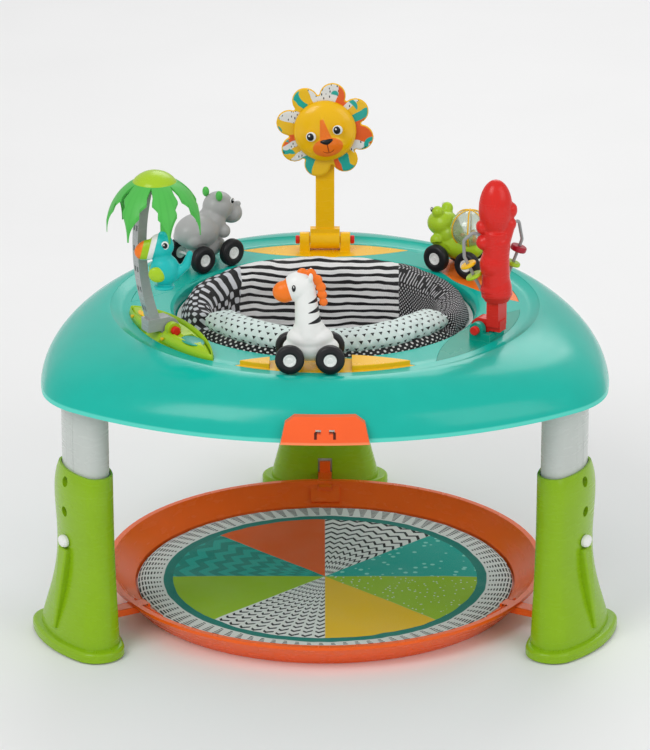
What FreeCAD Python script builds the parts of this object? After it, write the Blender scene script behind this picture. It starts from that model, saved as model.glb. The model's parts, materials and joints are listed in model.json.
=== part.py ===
"""Activity table for a baby: a round toy deck on three height-adjustable legs, with a
fabric seat that turns in the middle and a padded dish on the floor.

Millimetres, +Z up, z = 0 on the floor, the origin on the axis of the seat. -Y is the front.
The three legs stand at 90, 210 and 330 degrees, and the six toy stations are 60 degrees apart.
"""
import FreeCAD, Part
import math
import os

import Sketcher

Vector = FreeCAD.Vector
doc = FreeCAD.newDocument("ActivityTable")

# ---------------------------------------------------------------- driving dimensions
DIMENSIONS = {
    # legs
    "leg_circle": 336.0, "tube_half_width": 43.0, "tube_half_depth": 21.5, "tube_wall": 2.5,
    "tube_bottom": 15.0, "tube_top": 339.8, "detent_pitch": 38.5, "detent_radius": 7.2,
    "sleeve_top": 226.0, "sleeve_top_half_width": 49.0, "sleeve_top_half_depth": 25.0,
    "guide_half_width": 45.5, "guide_half_depth": 22.0, "foot_half_width": 74.0,
    "foot_half_depth": 37.5, "foot_shift": 13.0, "flange_half_width": 84.5,
    "flange_half_depth": 42.5, "flange_shift": 15.0, "flange_height": 12.0, "foot_pad_height": 2.0,
    "button_height": 135.0, "button_radius": 6.5, "button_hole_radius": 6.9,
    # dish and floor mat
    "dish_foot_radius": 247.7, "dish_lip_radius": 277.0, "dish_height": 34.0, "dish_floor": 4.0,
    "dish_floor_radius": 240.0, "mat_radius": 238.0, "mat_thickness": 7.0, "link_width": 18.0,
    "clip_width": 38.0,
    # tray
    "crest_radius": 270.0, "crest_height": 379.0, "lip_height": 316.5,
    "lip_corner_centre": 274.0, "lip_corner_radius": 107.0, "lip_side_centre": 170.0,
    "tray_wall": 3.0, "deck_height": 375.0, "seat_hole_radius": 172.0, "ledge_radius": 186.0,
    "ledge_height": 358.0, "ledge_thickness": 5.0,
    # stations
    "station_circle": 216.5, "plate_half_length": 108.0, "plate_half_width": 26.0,
    "plate_thickness": 2.5, "hinge_circle": 222.0, "hinge_height": 388.0,
    # seat
    "ring_inner_radius": 150.0, "ring_outer_radius": 184.0, "ring_thickness": 3.0,
    "ring_neck_radius": 171.5, "retainer_inner_radius": 160.0, "running_gap": 0.3,
    "seat_bottom": 240.0, "seat_wall": 6.0, "seat_roll_top": 383.0, "seat_roll_radius": 10.6,
    "bolster_radius": 10.5, "leg_hole_radius": 46.0,
    # toys
    "wheel_radius": 17.5, "wheel_width": 12.0, "track": 48.0, "wheelbase": 48.0,
    "axle_radius": 2.5, "pin_radius": 4.5, "knob_radius": 5.5, "wire_radius": 2.0,
    "face_radius": 40.0, "petal_circle": 47.0, "petal_radius": 17.0,
}

sheet = doc.addObject("Spreadsheet::Sheet", "Sizes")
for row, (alias, value) in enumerate(DIMENSIONS.items(), start=1):
    sheet.set(f"A{row}", alias)
    sheet.set(f"B{row}", str(value))
    sheet.setAlias(f"B{row}", alias)
doc.recompute()

LEG_AZIMUTH = {"back": 90.0, "left": 210.0, "right": 330.0}
STATION_AZIMUTH = {"frog": 30.0, "lion": 90.0, "hippo": 150.0, "palm": 210.0, "zebra": 270.0,
                   "figure": 330.0}


# ---------------------------------------------------------------- sizes and expressions
class Size:
    """A length with its value and the spreadsheet expression that gives it."""

    def __init__(self, value, text):
        self.value = value
        self.text = text

    def __add__(self, other):
        other = as_size(other)
        return Size(self.value + other.value, f"({self.text} + {other.text})")

    def __sub__(self, other):
        other = as_size(other)
        return Size(self.value - other.value, f"({self.text} - {other.text})")

    def __mul__(self, factor):
        return Size(self.value * factor, f"({self.text} * {factor})")


def as_size(value):
    return value if isinstance(value, Size) else Size(float(value), str(float(value)))


def dim(alias):
    return Size(float(sheet.get(alias)), f"Sizes.{alias}")


def val(alias):
    return float(sheet.get(alias))


# ---------------------------------------------------------------- placements
def place(x=0.0, y=0.0, z=0.0, axis=Vector(0, 0, 1), angle=0.0):
    return FreeCAD.Placement(Vector(x, y, z), FreeCAD.Rotation(axis, angle))


def at_azimuth(azimuth, x=0.0, y=0.0, z=0.0):
    """x runs outwards along the azimuth, y anticlockwise around the table."""
    return place(angle=azimuth).multiply(place(x, y, z))


ALONG_X = FreeCAD.Rotation(Vector(0, 1, 0), 90)
ALONG_Y = FreeCAD.Rotation(Vector(1, 0, 0), -90)


# ---------------------------------------------------------------- document helpers
def sketch_of(body, plane_role, corners):
    """A closed polygon whose corners are bound to the sheet."""
    plane = next(f for f in body.Origin.OriginFeatures if f.Role == plane_role)
    sketch = body.newObject("Sketcher::SketchObject", body.Name + "_sketch")
    sketch.AttachmentSupport = [(plane, "")]
    sketch.MapMode = "FlatFace"
    corners = [(as_size(x), as_size(y)) for x, y in corners]
    points = [Vector(x.value, y.value, 0) for x, y in corners]
    count = len(points)
    for i in range(count):
        sketch.addGeometry(Part.LineSegment(points[i], points[(i + 1) % count]), False)
    for i in range(count):
        sketch.addConstraint(Sketcher.Constraint("Coincident", i, 2, (i + 1) % count, 1))
    for i, (x, y) in enumerate(corners):
        for kind, size, axis in (("DistanceX", x, -2), ("DistanceY", y, -1)):
            if size.value == 0.0:
                sketch.addConstraint(Sketcher.Constraint("PointOnObject", i, 1, axis))
                continue
            number = sketch.addConstraint(Sketcher.Constraint(kind, -1, 1, i, 1, size.value))
            sketch.setExpression(f"Constraints[{number}]", size.text)
    return sketch


def turned(name, corners):
    """A PartDesign body: a profile of (radius, height) corners turned about Z."""
    body = doc.addObject("PartDesign::Body", name)
    sketch = sketch_of(body, "XZ_Plane", corners)
    feature = body.newObject("PartDesign::Revolution", name + "_turn")
    feature.Profile = (sketch, [""])
    feature.ReferenceAxis = (sketch, ["V_Axis"])
    feature.Angle = 360.0
    return body


def extruded(name, corners, thickness, plane_role="XY_Plane"):
    """A PartDesign body: an outline padded to both sides of its plane."""
    body = doc.addObject("PartDesign::Body", name)
    sketch = sketch_of(body, plane_role, corners)
    feature = body.newObject("PartDesign::Pad", name + "_pad")
    feature.Profile = (sketch, [""])
    feature.setExpression("Length", as_size(thickness).text)
    feature.Midplane = True
    return body


def primitive(kind, name, placement, **sizes):
    piece = doc.addObject(kind, name)
    for prop, size in sizes.items():
        piece.setExpression(prop, as_size(size).text)
    piece.Placement = placement
    return piece


def cylinder(name, placement, radius, length):
    return primitive("Part::Cylinder", name, placement, Radius=radius, Height=length)


def block(name, placement, length, width, height):
    """A box centred on its placement in x and y, standing on it in z."""
    centred = placement.multiply(place(-as_size(length).value / 2, -as_size(width).value / 2, 0))
    return primitive("Part::Box", name, centred, Length=length, Width=width, Height=height)


def ellipsoid(name, placement, along_x, along_y, along_z):
    """Radius2 is the radius along X, Radius3 along Y and Radius1 along Z."""
    piece = primitive("Part::Ellipsoid", name, placement, Radius1=along_z, Radius2=along_x,
                      Radius3=along_y)
    return piece


def ball(name, placement, radius):
    return primitive("Part::Sphere", name, placement, Radius=radius)


def barrel(name, placement, radius, length, rounding):
    """A cylinder with both rims rounded."""
    core = cylinder(name + "_core", placement, radius, length)
    result = doc.addObject("Part::Fillet", name)
    result.Base = core
    result.Edges = [(1, rounding, rounding), (3, rounding, rounding)]
    return result


def cone(name, placement, radius_low, radius_high, length):
    return primitive("Part::Cone", name, placement, Radius1=radius_low, Radius2=radius_high,
                     Height=length)


def fused(name, pieces):
    result = doc.addObject("Part::MultiFuse", name)
    result.Shapes = pieces
    return result


def cut(name, base, tools):
    """base without its tools."""
    tool = tools[0] if len(tools) == 1 else fused(name + "_tools", tools)
    result = doc.addObject("Part::Cut", name)
    result.Base = base
    result.Tool = tool
    return result


def feature(name, shape, placement=None):
    """A shape that neither a body nor a primitive can make."""
    piece = doc.addObject("Part::Feature", name)
    piece.Shape = shape
    if placement is not None:
        piece.Placement = placement
    return piece


NODES = []


def node(piece, label, placement=None):
    """Names a finished sub-part. The placement goes on after its shape is there."""
    if placement is not None:
        piece.Placement = placement
    piece.Label = label
    NODES.append(piece)
    return piece


# ---------------------------------------------------------------- curved outlines
def arc(centre, radius, start, end, z):
    """An arc from one angle to the other, in degrees, at height z."""
    points = []
    for share in (0.0, 0.5, 1.0):
        angle = math.radians(start + (end - start) * share)
        points.append(Vector(centre[0] + radius * math.cos(angle),
                             centre[1] + radius * math.sin(angle), z))
    return Part.Arc(*points).toShape()


def oval(half_width, half_depth, z, shift=0.0, end_radius=None):
    """A leg section: x is its depth, y its width, with flat arcs for the broad faces."""
    end = end_radius or 0.78 * half_depth
    offset = half_width - end
    broad = (offset ** 2 + half_depth ** 2 - end ** 2) / (2 * (half_depth - end))
    sweep = math.degrees(math.atan2(offset, broad - half_depth))
    edges = [
        arc((shift - (broad - half_depth), 0), broad, -sweep, sweep, z),
        arc((shift, offset), end, sweep, 180 - sweep, z),
        arc((shift + (broad - half_depth), 0), broad, 180 - sweep, 180 + sweep, z),
        arc((shift, -offset), end, 180 + sweep, 360 - sweep, z),
    ]
    return Part.Wire(edges)


def rounded_triangle(share, z, inset=0.0):
    """A tray section between the round crest (share 0) and the three-cornered lip (share 1)."""
    crest = val("crest_radius")
    corner_centre = share * val("lip_corner_centre")
    corner_radius = crest + share * (val("lip_corner_radius") - crest) - inset
    side_centre = share * val("lip_side_centre")
    across = val("lip_side_centre") * math.cos(math.radians(30))
    along = val("lip_corner_centre") + val("lip_side_centre") / 2
    side_radius = corner_radius + share * math.hypot(across, along)
    spread = math.degrees(math.atan2(across, along))
    edges = []
    for azimuth in LEG_AZIMUTH.values():
        turn = math.radians(azimuth)
        centre = (corner_centre * math.cos(turn), corner_centre * math.sin(turn))
        edges.append(arc(centre, corner_radius, azimuth - spread, azimuth + spread, z))
        turn = math.radians(azimuth + 60)
        centre = (-side_centre * math.cos(turn), -side_centre * math.sin(turn))
        edges.append(arc(centre, side_radius, azimuth + spread, azimuth + 120 - spread, z))
    return Part.Wire(edges)


def dome_height(share):
    """The height of the tray's outside, from its crest down to its lip."""
    drop = 0.75 * (1 - math.sqrt(1 - share ** 2)) + 0.25 * share
    return val("crest_height") - (val("crest_height") - val("lip_height")) * drop


def dome(inset, lowered, skirt=0.0):
    """The solid under the tray's outside, made smaller by inset and lowered."""
    sections = [rounded_triangle(share, dome_height(share) - lowered, inset)
                for share in (0.0, 0.35, 0.65, 0.85, 1.0)]
    solid = Part.makeLoft(sections, True, False)
    if skirt:
        low = val("lip_height") - lowered
        face = Part.Face(rounded_triangle(1.0, low, inset))
        solid = solid.fuse(face.extrude(Vector(0, 0, -skirt)))
    return solid


def lens_outline(half_length, half_width, z):
    """Two arcs that meet in two points: x is the width, y the length."""
    radius = (half_length ** 2 + half_width ** 2) / (2 * half_width)
    reach = math.degrees(math.asin(half_length / radius))
    return Part.Wire([arc((half_width - radius, 0), radius, -reach, reach, z),
                      arc((radius - half_width, 0), radius, 180 - reach, 180 + reach, z)])


def lens(half_length, half_width, low, high):
    outline = lens_outline(half_length, half_width, low)
    return Part.Face(outline).extrude(Vector(0, 0, high - low))


def turned_shape(corners):
    points = [Vector(radius, 0, height) for radius, height in corners]
    face = Part.Face(Part.makePolygon(points + points[:1]))
    return face.revolve(Vector(0, 0, 0), Vector(0, 0, 1), 360)


# ---------------------------------------------------------------- legs and feet
def foot_sleeve(name, azimuth):
    top = val("sleeve_top")
    low = val("foot_pad_height")
    flange = low + val("flange_height")
    outside = Part.makeLoft([
        oval(val("foot_half_width"), val("foot_half_depth"), low, val("foot_shift")),
        oval(val("foot_half_width") - 2, val("foot_half_depth") - 1, flange, val("foot_shift") - 1),
        oval(61, 31, 60, 6), oval(53, 27, 112, 2),
        oval(val("sleeve_top_half_width"), val("sleeve_top_half_depth"), top),
    ], True, False)
    plate = Part.Face(oval(val("flange_half_width"), val("flange_half_depth"), low,
                           val("flange_shift"))).extrude(Vector(0, 0, val("flange_height")))
    plate = plate.makeFillet(4.5, [e for e in plate.Edges if e.BoundBox.ZMin > flange - 0.1])
    rib_low = Part.Wire(Part.makePolygon([Vector(28, -4, 24), Vector(50, -4, 24),
                                          Vector(50, 4, 24), Vector(28, 4, 24), Vector(28, -4, 24)]))
    rib_top = Part.Wire(Part.makePolygon([Vector(20, -10, 126), Vector(35, -10, 126),
                                          Vector(35, 10, 126), Vector(20, 10, 126),
                                          Vector(20, -10, 126)]))
    rib = Part.makeLoft([rib_low, rib_top], True, True)
    rib = rib.makeFillet(2.5, [e for e in rib.Edges if e.BoundBox.XMin > 34.5])
    guide_width = val("guide_half_width")
    guide_depth = val("guide_half_depth")
    inside = Part.makeLoft([
        oval(val("foot_half_width") - 3.5, val("foot_half_depth") - 3.5, low - 1,
             val("foot_shift")),
        oval(57, 27.5, 60, 6), oval(guide_width, guide_depth, 124), ], True, False)
    guide = Part.Face(oval(guide_width, guide_depth, low - 1)).extrude(Vector(0, 0, top))
    solid = outside.fuse([plate, rib]).cut(inside.fuse(guide))
    wall = (guide_depth - 3, 0)
    for step, radius in ((0, val("button_hole_radius")), (1, 6.5), (2, 6.5)):
        height = val("button_height") + step * val("detent_pitch")
        solid = solid.cut(Part.makeCylinder(radius, 25, Vector(*wall, height), Vector(1, 0, 0)))
    slot = Part.makeBox(16, val("link_width") + 1, 30,
                        Vector(-32, -(val("link_width") + 1) / 2, 20))
    solid = solid.cut(slot).removeSplitter()
    return node(feature(name, solid), name, at_azimuth(azimuth, val("leg_circle")))


def leg_tube(name, azimuth):
    low = val("tube_bottom")
    length = val("tube_top") - low
    wall = val("tube_wall")
    outer = Part.Face(oval(val("tube_half_width"), val("tube_half_depth"), low))
    inner = Part.Face(oval(val("tube_half_width") - wall, val("tube_half_depth") - wall, low - 1))
    tube = outer.extrude(Vector(0, 0, length)).cut(inner.extrude(Vector(0, 0, length + 2)))
    for step in range(3):
        height = val("button_height") - step * val("detent_pitch")
        hole = Part.makeCylinder(val("detent_radius"), 20, Vector(10, 0, height), Vector(1, 0, 0))
        tube = tube.cut(hole)
    return node(feature(name, tube), name, at_azimuth(azimuth, val("leg_circle")))


def leg_button(name, azimuth):
    """A round button with a domed face that slides through the sleeve's wall."""
    radius = dim("button_radius")
    body = turned(name, [(0, 0), (radius, 0), (radius, 11.0), (radius - 1.2, 13.0),
                         (radius - 3.2, 14.2), (0, 14.6)])
    placement = at_azimuth(azimuth, val("leg_circle") + val("guide_half_depth") + 1.0, 0,
                           val("button_height"))
    placement.Rotation = placement.Rotation.multiply(ALONG_X)
    return node(body, name, placement)


def foot_pads():
    low = 0.0
    outer = Part.Face(oval(val("flange_half_width") - 4, val("flange_half_depth") - 4, low,
                           val("flange_shift")))
    inner = Part.Face(oval(val("foot_half_width") - 6, val("foot_half_depth") - 8, low,
                           val("flange_shift")))
    ring = outer.cut(inner).extrude(Vector(0, 0, val("foot_pad_height")))
    pads = []
    for azimuth in LEG_AZIMUTH.values():
        pad = ring.copy()
        pad.Placement = at_azimuth(azimuth, val("leg_circle"))
        pads.append(pad)
    return node(feature("foot_pads", Part.makeCompound(pads)), "foot_pads")


def button_springs():
    """Flat V-springs clipped inside the tubes, one behind each button."""
    leaf = Part.makePolygon([Vector(16.0, 0, 150), Vector(17.2, 0, 150), Vector(17.2, 0, 166),
                             Vector(-17.2, 0, 178), Vector(-18.4, 0, 177.6),
                             Vector(16.0, 0, 165.2), Vector(16.0, 0, 150)])
    strip = Part.Face(leaf).extrude(Vector(0, 10, 0))
    strip.translate(Vector(0, -5, 0))
    springs = []
    for azimuth in LEG_AZIMUTH.values():
        spring = strip.copy()
        spring.Placement = at_azimuth(azimuth, val("leg_circle")).multiply(spring.Placement)
        springs.append(spring)
    return node(feature("button_springs", Part.makeCompound(springs)), "button_springs")


# ---------------------------------------------------------------- dish and floor mat
def base_dish(links):
    foot = dim("dish_foot_radius")
    lip = dim("dish_lip_radius")
    floor = dim("dish_floor")
    bowl = turned("dish_bowl", [
        (0, 0), (foot, 0), (lip, dim("dish_height") - 4), (lip, dim("dish_height")),
        (lip - 7, dim("dish_height")), (lip - 15, dim("dish_height") - 8),
        (dim("dish_floor_radius") + 1, floor + 6), (dim("dish_floor_radius"), floor), (0, floor)])
    return node(cut("base_dish_solid", bowl, links), "base_dish")


def dish_link(name, azimuth):
    """A bar from the dish to a foot, with a clip plate on the slope and a hook in the foot."""
    bar = extruded(name + "_bar", [(255.0, 22.0), (311.0, 22.0), (311.0, 31.0), (255.0, 31.0)],
                   dim("link_width"), "XZ_Plane")
    plate = extruded(name + "_clip", [(244.0, 12.9), (264.0, 28.1), (262.2, 30.5), (242.2, 15.3)],
                     dim("clip_width"), "XZ_Plane")
    hook = extruded(name + "_hook", [(309.5, 22.0), (313.6, 22.0), (313.6, 46.0), (309.5, 46.0)],
                    dim("link_width") - 4, "XZ_Plane")
    link = fused(name, [bar, plate, hook])
    return node(link, name, place(angle=azimuth))


def play_mat():
    low = dim("dish_floor") + dim("running_gap")
    high = low + dim("mat_thickness")
    radius = dim("mat_radius")
    mat = turned("play_mat", [(0, low), (radius - 2, low), (radius, low + 2), (radius, high - 2),
                              (radius - 2, high), (0, high)])
    return node(mat, "play_mat")


# ---------------------------------------------------------------- tray
def table_tray():
    deck = val("deck_height")
    crest = val("crest_height")
    ledge = val("ledge_radius")
    above = turned_shape([
        (0, val("ledge_height")), (ledge, val("ledge_height")), (ledge, deck - 7),
        (ledge + 2, deck - 2.5), (ledge + 6, deck), (244, deck), (250, deck - 2),
        (256, deck - 1.5), (266, crest - 0.5), (268, crest + 20), (0, crest + 20)])
    under_ledge = val("ledge_height") - val("ledge_thickness")
    deck_layer = turned_shape([
        (0, under_ledge), (ledge + 2, under_ledge), (ledge + 4, deck - 7), (262, deck - 7),
        (266, deck - 2), (266, crest + 20), (0, crest + 20)])
    outer = dome(0, 0)
    hollow = dome(val("tray_wall"), val("tray_wall"), skirt=8).cut(deck_layer)
    shell = outer.cut(above).cut(hollow)
    sockets = []
    for azimuth in LEG_AZIMUTH.values():
        boss = Part.Face(oval(val("tube_half_width") + 3.4, val("tube_half_depth") + 3.4,
                              val("lip_height") + 4)).extrude(Vector(0, 0, 40))
        boss.Placement = at_azimuth(azimuth, val("leg_circle"))
        sockets.append(boss.common(outer))
    shell = shell.fuse(sockets)
    for azimuth in LEG_AZIMUTH.values():
        bore = Part.Face(oval(val("tube_half_width") + 0.2, val("tube_half_depth") + 0.2,
                              val("lip_height") - 5))
        bore = bore.extrude(Vector(0, 0, val("tube_top") - val("lip_height") + 5.2))
        bore.Placement = at_azimuth(azimuth, val("leg_circle"))
        shell = shell.cut(bore)
    shell = shell.cut(Part.makeCylinder(val("seat_hole_radius"), 80, Vector(0, 0, 330)))
    for azimuth in STATION_AZIMUTH.values():
        recess = lens(val("plate_half_length") + 0.4, val("plate_half_width") + 0.3,
                      deck - val("plate_thickness"), deck + 8)
        recess.Placement = at_azimuth(azimuth, val("station_circle"))
        shell = shell.cut(recess)
    slot = Part.makeBox(26, 60, 9, Vector(-13, -350, 328.5))
    shell = shell.cut(slot).removeSplitter()
    return node(feature("table_tray", shell), "table_tray")


def rim_clip():
    """The bulging cap over the front of the rim, with a finger slot through it."""
    outside = dome(-9.0, -1.0)
    wedge = Part.Face(Part.makePolygon([
        Vector(-53, -400, 315.6), Vector(53, -400, 315.6), Vector(47, -400, 342),
        Vector(36, -400, 349), Vector(-36, -400, 349), Vector(-47, -400, 342),
        Vector(-53, -400, 315.6)])).extrude(Vector(0, 140, 0))
    cap = outside.common(wedge).cut(dome(0, 0, skirt=4))
    for side in (-1, 1):
        slot = Part.makeBox(6.5, 60, 5, Vector(side * 8 - 3.25, -380, 330.5))
        cap = cap.cut(slot)
    return node(feature("rim_clip", cap.removeSplitter()), "rim_clip")


# ---------------------------------------------------------------- seat
SCREW_CIRCLE = 168.5
SCREW_COUNT = 6
SCREW_SHANK_RADIUS = 1.2
SCREW_HEAD_RADIUS = 2.6
RETAINER_THICKNESS = 4.0
NECK_WIDTH = 6.0


def screw_spots():
    """Where the screws of the seat's retainer go around its axis."""
    turns = [math.radians(360 / SCREW_COUNT * number) for number in range(SCREW_COUNT)]
    return [(SCREW_CIRCLE * math.cos(turn), SCREW_CIRCLE * math.sin(turn)) for turn in turns]


def seat_parts():
    """The ring that turns on the ledge, the retainer under it and their screws."""
    gap = dim("running_gap")
    low = dim("ledge_height") + gap
    high = low + dim("ring_thickness")
    under = dim("ledge_height") - dim("ledge_thickness") - gap
    plate_low = under - RETAINER_THICKNESS
    neck = dim("ring_neck_radius")
    outer = dim("ring_outer_radius")
    ring = turned("ring_blank", [
        (dim("ring_inner_radius"), low), (neck - NECK_WIDTH, low), (neck - NECK_WIDTH, under),
        (neck, under), (neck, low), (outer, low), (outer, high),
        (dim("ring_inner_radius"), high)])
    retainer = turned("retainer_plate", [
        (dim("retainer_inner_radius"), plate_low), (outer - 2, plate_low), (outer - 2, under),
        (dim("retainer_inner_radius"), under)])
    screws = []
    plate_holes = []
    ring_holes = []
    for number, spot in enumerate(screw_spots()):
        head = Part.makeCylinder(SCREW_HEAD_RADIUS, 2.0, Vector(*spot, plate_low.value - 2))
        shank = Part.makeCylinder(SCREW_SHANK_RADIUS, 8.0, Vector(*spot, plate_low.value))
        screws.append(head.fuse(shank).removeSplitter())
        plate_holes.append(cylinder(f"retainer_hole_{number}",
                                    place(*spot, plate_low.value - 1), SCREW_SHANK_RADIUS, 6.0))
        ring_holes.append(cylinder(f"ring_hole_{number}", place(*spot, under.value - 1),
                                   SCREW_SHANK_RADIUS, 5.0))
    node(cut("retainer_solid", retainer, plate_holes), "seat_retainer")
    node(cut("ring_solid", ring, ring_holes), "seat_ring")
    node(feature("seat_screws", Part.makeCompound(screws)), "seat_screws")
    return high


LEG_HOLE_ASIDE = 56.0
LEG_HOLE_FORWARD = -28.0
SLING_RADIUS = 148.0


def seat_fabric(ring_top):
    """The sling: a bowl with two leg holes, hung over the ring, with a roll around the back."""
    wall = dim("seat_wall")
    top = ring_top + 0.3
    bottom = dim("seat_bottom")
    inner = SLING_RADIUS - wall.value
    bowl = turned("seat_bowl", [
        (0, bottom), (100, bottom), (124, bottom + 18), (142, bottom + 60),
        (SLING_RADIUS, bottom + 100), (SLING_RADIUS, top), (176, top), (176, top + 6),
        (172, top + 9), (145, top + 9), (inner, top),
        (inner, bottom + 100), (inner - 6, bottom + 63), (inner - 23, bottom + 23),
        (inner - 45, bottom + wall), (0, bottom + wall)])
    holes = [cylinder(f"leg_hole_{side}", place(side * LEG_HOLE_ASIDE, LEG_HOLE_FORWARD, bottom.value - 5),
                      dim("leg_hole_radius"), 20.0) for side in (-1, 1)]
    sling = cut("sling", bowl, holes)
    roll = arc_roll("seat_roll", 160.0, dim("seat_roll_radius"), -24.0, 228.0,
                    val("seat_roll_top") - val("seat_roll_radius"))
    node(fused("seat_fabric_solid", [sling, roll]), "seat_fabric")
    bolster = arc_roll("front_bolster", 153.0, dim("bolster_radius"), 211.0, 118.0,
                       top.value + 9 + 0.3 + val("bolster_radius"))
    node(bolster, "seat_bolster")


def arc_roll(name, circle, radius, start, sweep, height):
    """Part of a torus around the seat's axis."""
    roll = doc.addObject("Part::Torus", name)
    roll.setExpression("Radius1", as_size(circle).text)
    roll.setExpression("Radius2", radius.text)
    roll.Angle3 = sweep
    roll.Placement = place(0, 0, height, angle=start)
    return roll


# ---------------------------------------------------------------- stations
def station_plate(name, station):
    """The flat lens-shaped plate of a station, with its top level with the deck."""
    shape = lens(val("plate_half_length"), val("plate_half_width"),
                 val("deck_height") - val("plate_thickness"), val("deck_height"))
    return feature(name, shape, at_azimuth(STATION_AZIMUTH[station], val("station_circle")))


def ears(name, station, inner, outer, radius):
    """Two upright ears that carry a hinge pin, from inner to outer along the pin."""
    azimuth = STATION_AZIMUTH[station]
    width = outer - inner
    low = val("deck_height") - 0.5
    pieces = []
    for side in (-1, 1):
        middle = side * (inner + outer) / 2
        pieces.append(block(f"{name}_ear_{side}", at_azimuth(azimuth, val("hinge_circle"), middle,
                                                             low),
                            2 * radius, width, dim("hinge_height") - low))
        spot = at_azimuth(azimuth, val("hinge_circle"), middle - width / 2, val("hinge_height"))
        spot.Rotation = spot.Rotation.multiply(ALONG_Y)
        pieces.append(cylinder(f"{name}_round_{side}", spot, radius, width))
    return pieces


def pin_hole(name, station, half_length, radius):
    spot = at_azimuth(STATION_AZIMUTH[station], val("hinge_circle"), -half_length,
                      val("hinge_height"))
    spot.Rotation = spot.Rotation.multiply(ALONG_Y)
    return cylinder(name, spot, radius, 2 * half_length)


def hinge_pin(name, station, half_length, knob):
    """A pin with a round knob on each end."""
    shaft = dim("pin_radius")
    head = dim("knob_radius")
    total = 2 * half_length
    body = turned(name, [(0, 0), (head - 1, 0), (head, 1), (head, knob), (shaft, knob),
                         (shaft, total - knob), (head, total - knob), (head, total - 1),
                         (head - 1, total), (0, total)])
    spot = at_azimuth(STATION_AZIMUTH[station], val("hinge_circle"), -half_length,
                      val("hinge_height"))
    spot.Rotation = spot.Rotation.multiply(ALONG_Y)
    return node(body, name, spot)


def lion_station():
    plate = station_plate("lion_plate", "lion")
    blank = fused("lion_base_blank", [plate] + ears("lion", "lion", 19.5, 32.5, 10.0))
    node(cut("lion_base_solid", blank, [pin_hole("lion_bore", "lion", 60, 4.58)]), "lion_base")
    hinge_pin("lion_pin", "lion", 38.0, 5.0)
    azimuth = STATION_AZIMUTH["lion"]
    circle = val("hinge_circle")
    axis_height = val("hinge_height")
    barrel_spot = at_azimuth(azimuth, circle, -19.0, axis_height)
    barrel_spot.Rotation = barrel_spot.Rotation.multiply(ALONG_Y)
    barrel = cylinder("lion_barrel", barrel_spot, 12.0, 38.0)
    shoulder = block("lion_shoulder", at_azimuth(azimuth, circle, 0, axis_height), 12, 38, 16)
    mast = block("lion_mast", at_azimuth(azimuth, circle, 0, axis_height + 10), 8, 24, 150)
    post = fused("lion_post_blank", [barrel, shoulder, mast])
    head_height = 538.0
    front = at_azimuth(azimuth, circle - 16.0, 0, head_height)
    front.Rotation = front.Rotation.multiply(ALONG_X)
    stub_hole = cylinder("lion_stub_hole", front, 5.0, 16.0)
    bore = pin_hole("lion_post_bore", "lion", 25, 4.52)
    node(cut("lion_post_solid", post, [bore, stub_hole]), "lion_post")
    rivet_spot = at_azimuth(azimuth, circle - 4.0, 0, head_height)
    rivet_spot.Rotation = rivet_spot.Rotation.multiply(ALONG_X)
    rivet = turned("lion_rivet", [(0, -9.0), (7.0, -9.0), (7.0, -6.6), (4.9, -6.6), (4.9, 4.0),
                                  (0, 4.0)])
    node(rivet, "lion_rivet", rivet_spot)
    lion_head(azimuth, circle, head_height)


def lion_head(azimuth, circle, height):
    """A petalled mane plate with a domed face in front, turning on the rivet."""
    spot = at_azimuth(azimuth, circle, 0, height)
    spot.Rotation = spot.Rotation.multiply(ALONG_X)
    face_radius = dim("face_radius")
    petals = [cylinder("mane_disc", place(0, 0, -10), 46.0, 3.2)]
    for turn in range(8):
        angle = math.radians(45 * turn + 12)
        petals.append(cylinder(f"petal_{turn}",
                               place(val("petal_circle") * math.cos(angle),
                                     val("petal_circle") * math.sin(angle), -10),
                               dim("petal_radius"), 3.2))
    mane = cut("mane_solid", fused("mane_blank", petals), [
        cylinder("mane_bore", place(0, 0, -11), 5.2, 6.0)])
    node(mane, "lion_mane", spot)
    face = turned("lion_face", [
        (0, -26.0), (14.0, -25.4), (26.0, -22.4), (35.0, -17.0), (face_radius, -10.3),
        (8.0, -10.3), (8.0, -13.5), (0, -13.5)])
    node(face, "lion_face", spot)


CROWN_CIRCLE = 236.0
CROWN_TOP = 572.5
LEAF_RADIUS = 60.0
LEAF_THICKNESS = 2.2
LEAF_TURN = 28.0
KNOB_POCKET_MIDDLE = 23.6
KNOB_POCKET_LENGTH = 6.8
LEAF_OUTLINE = ((-0.5, 27.0), (-0.40, 38.0), (-0.42, 44.0), (-0.24, 48.5), (-0.26, 52.0),
                (0.0, 58.6), (0.26, 52.0), (0.24, 48.5), (0.42, 44.0), (0.40, 38.0))


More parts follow.
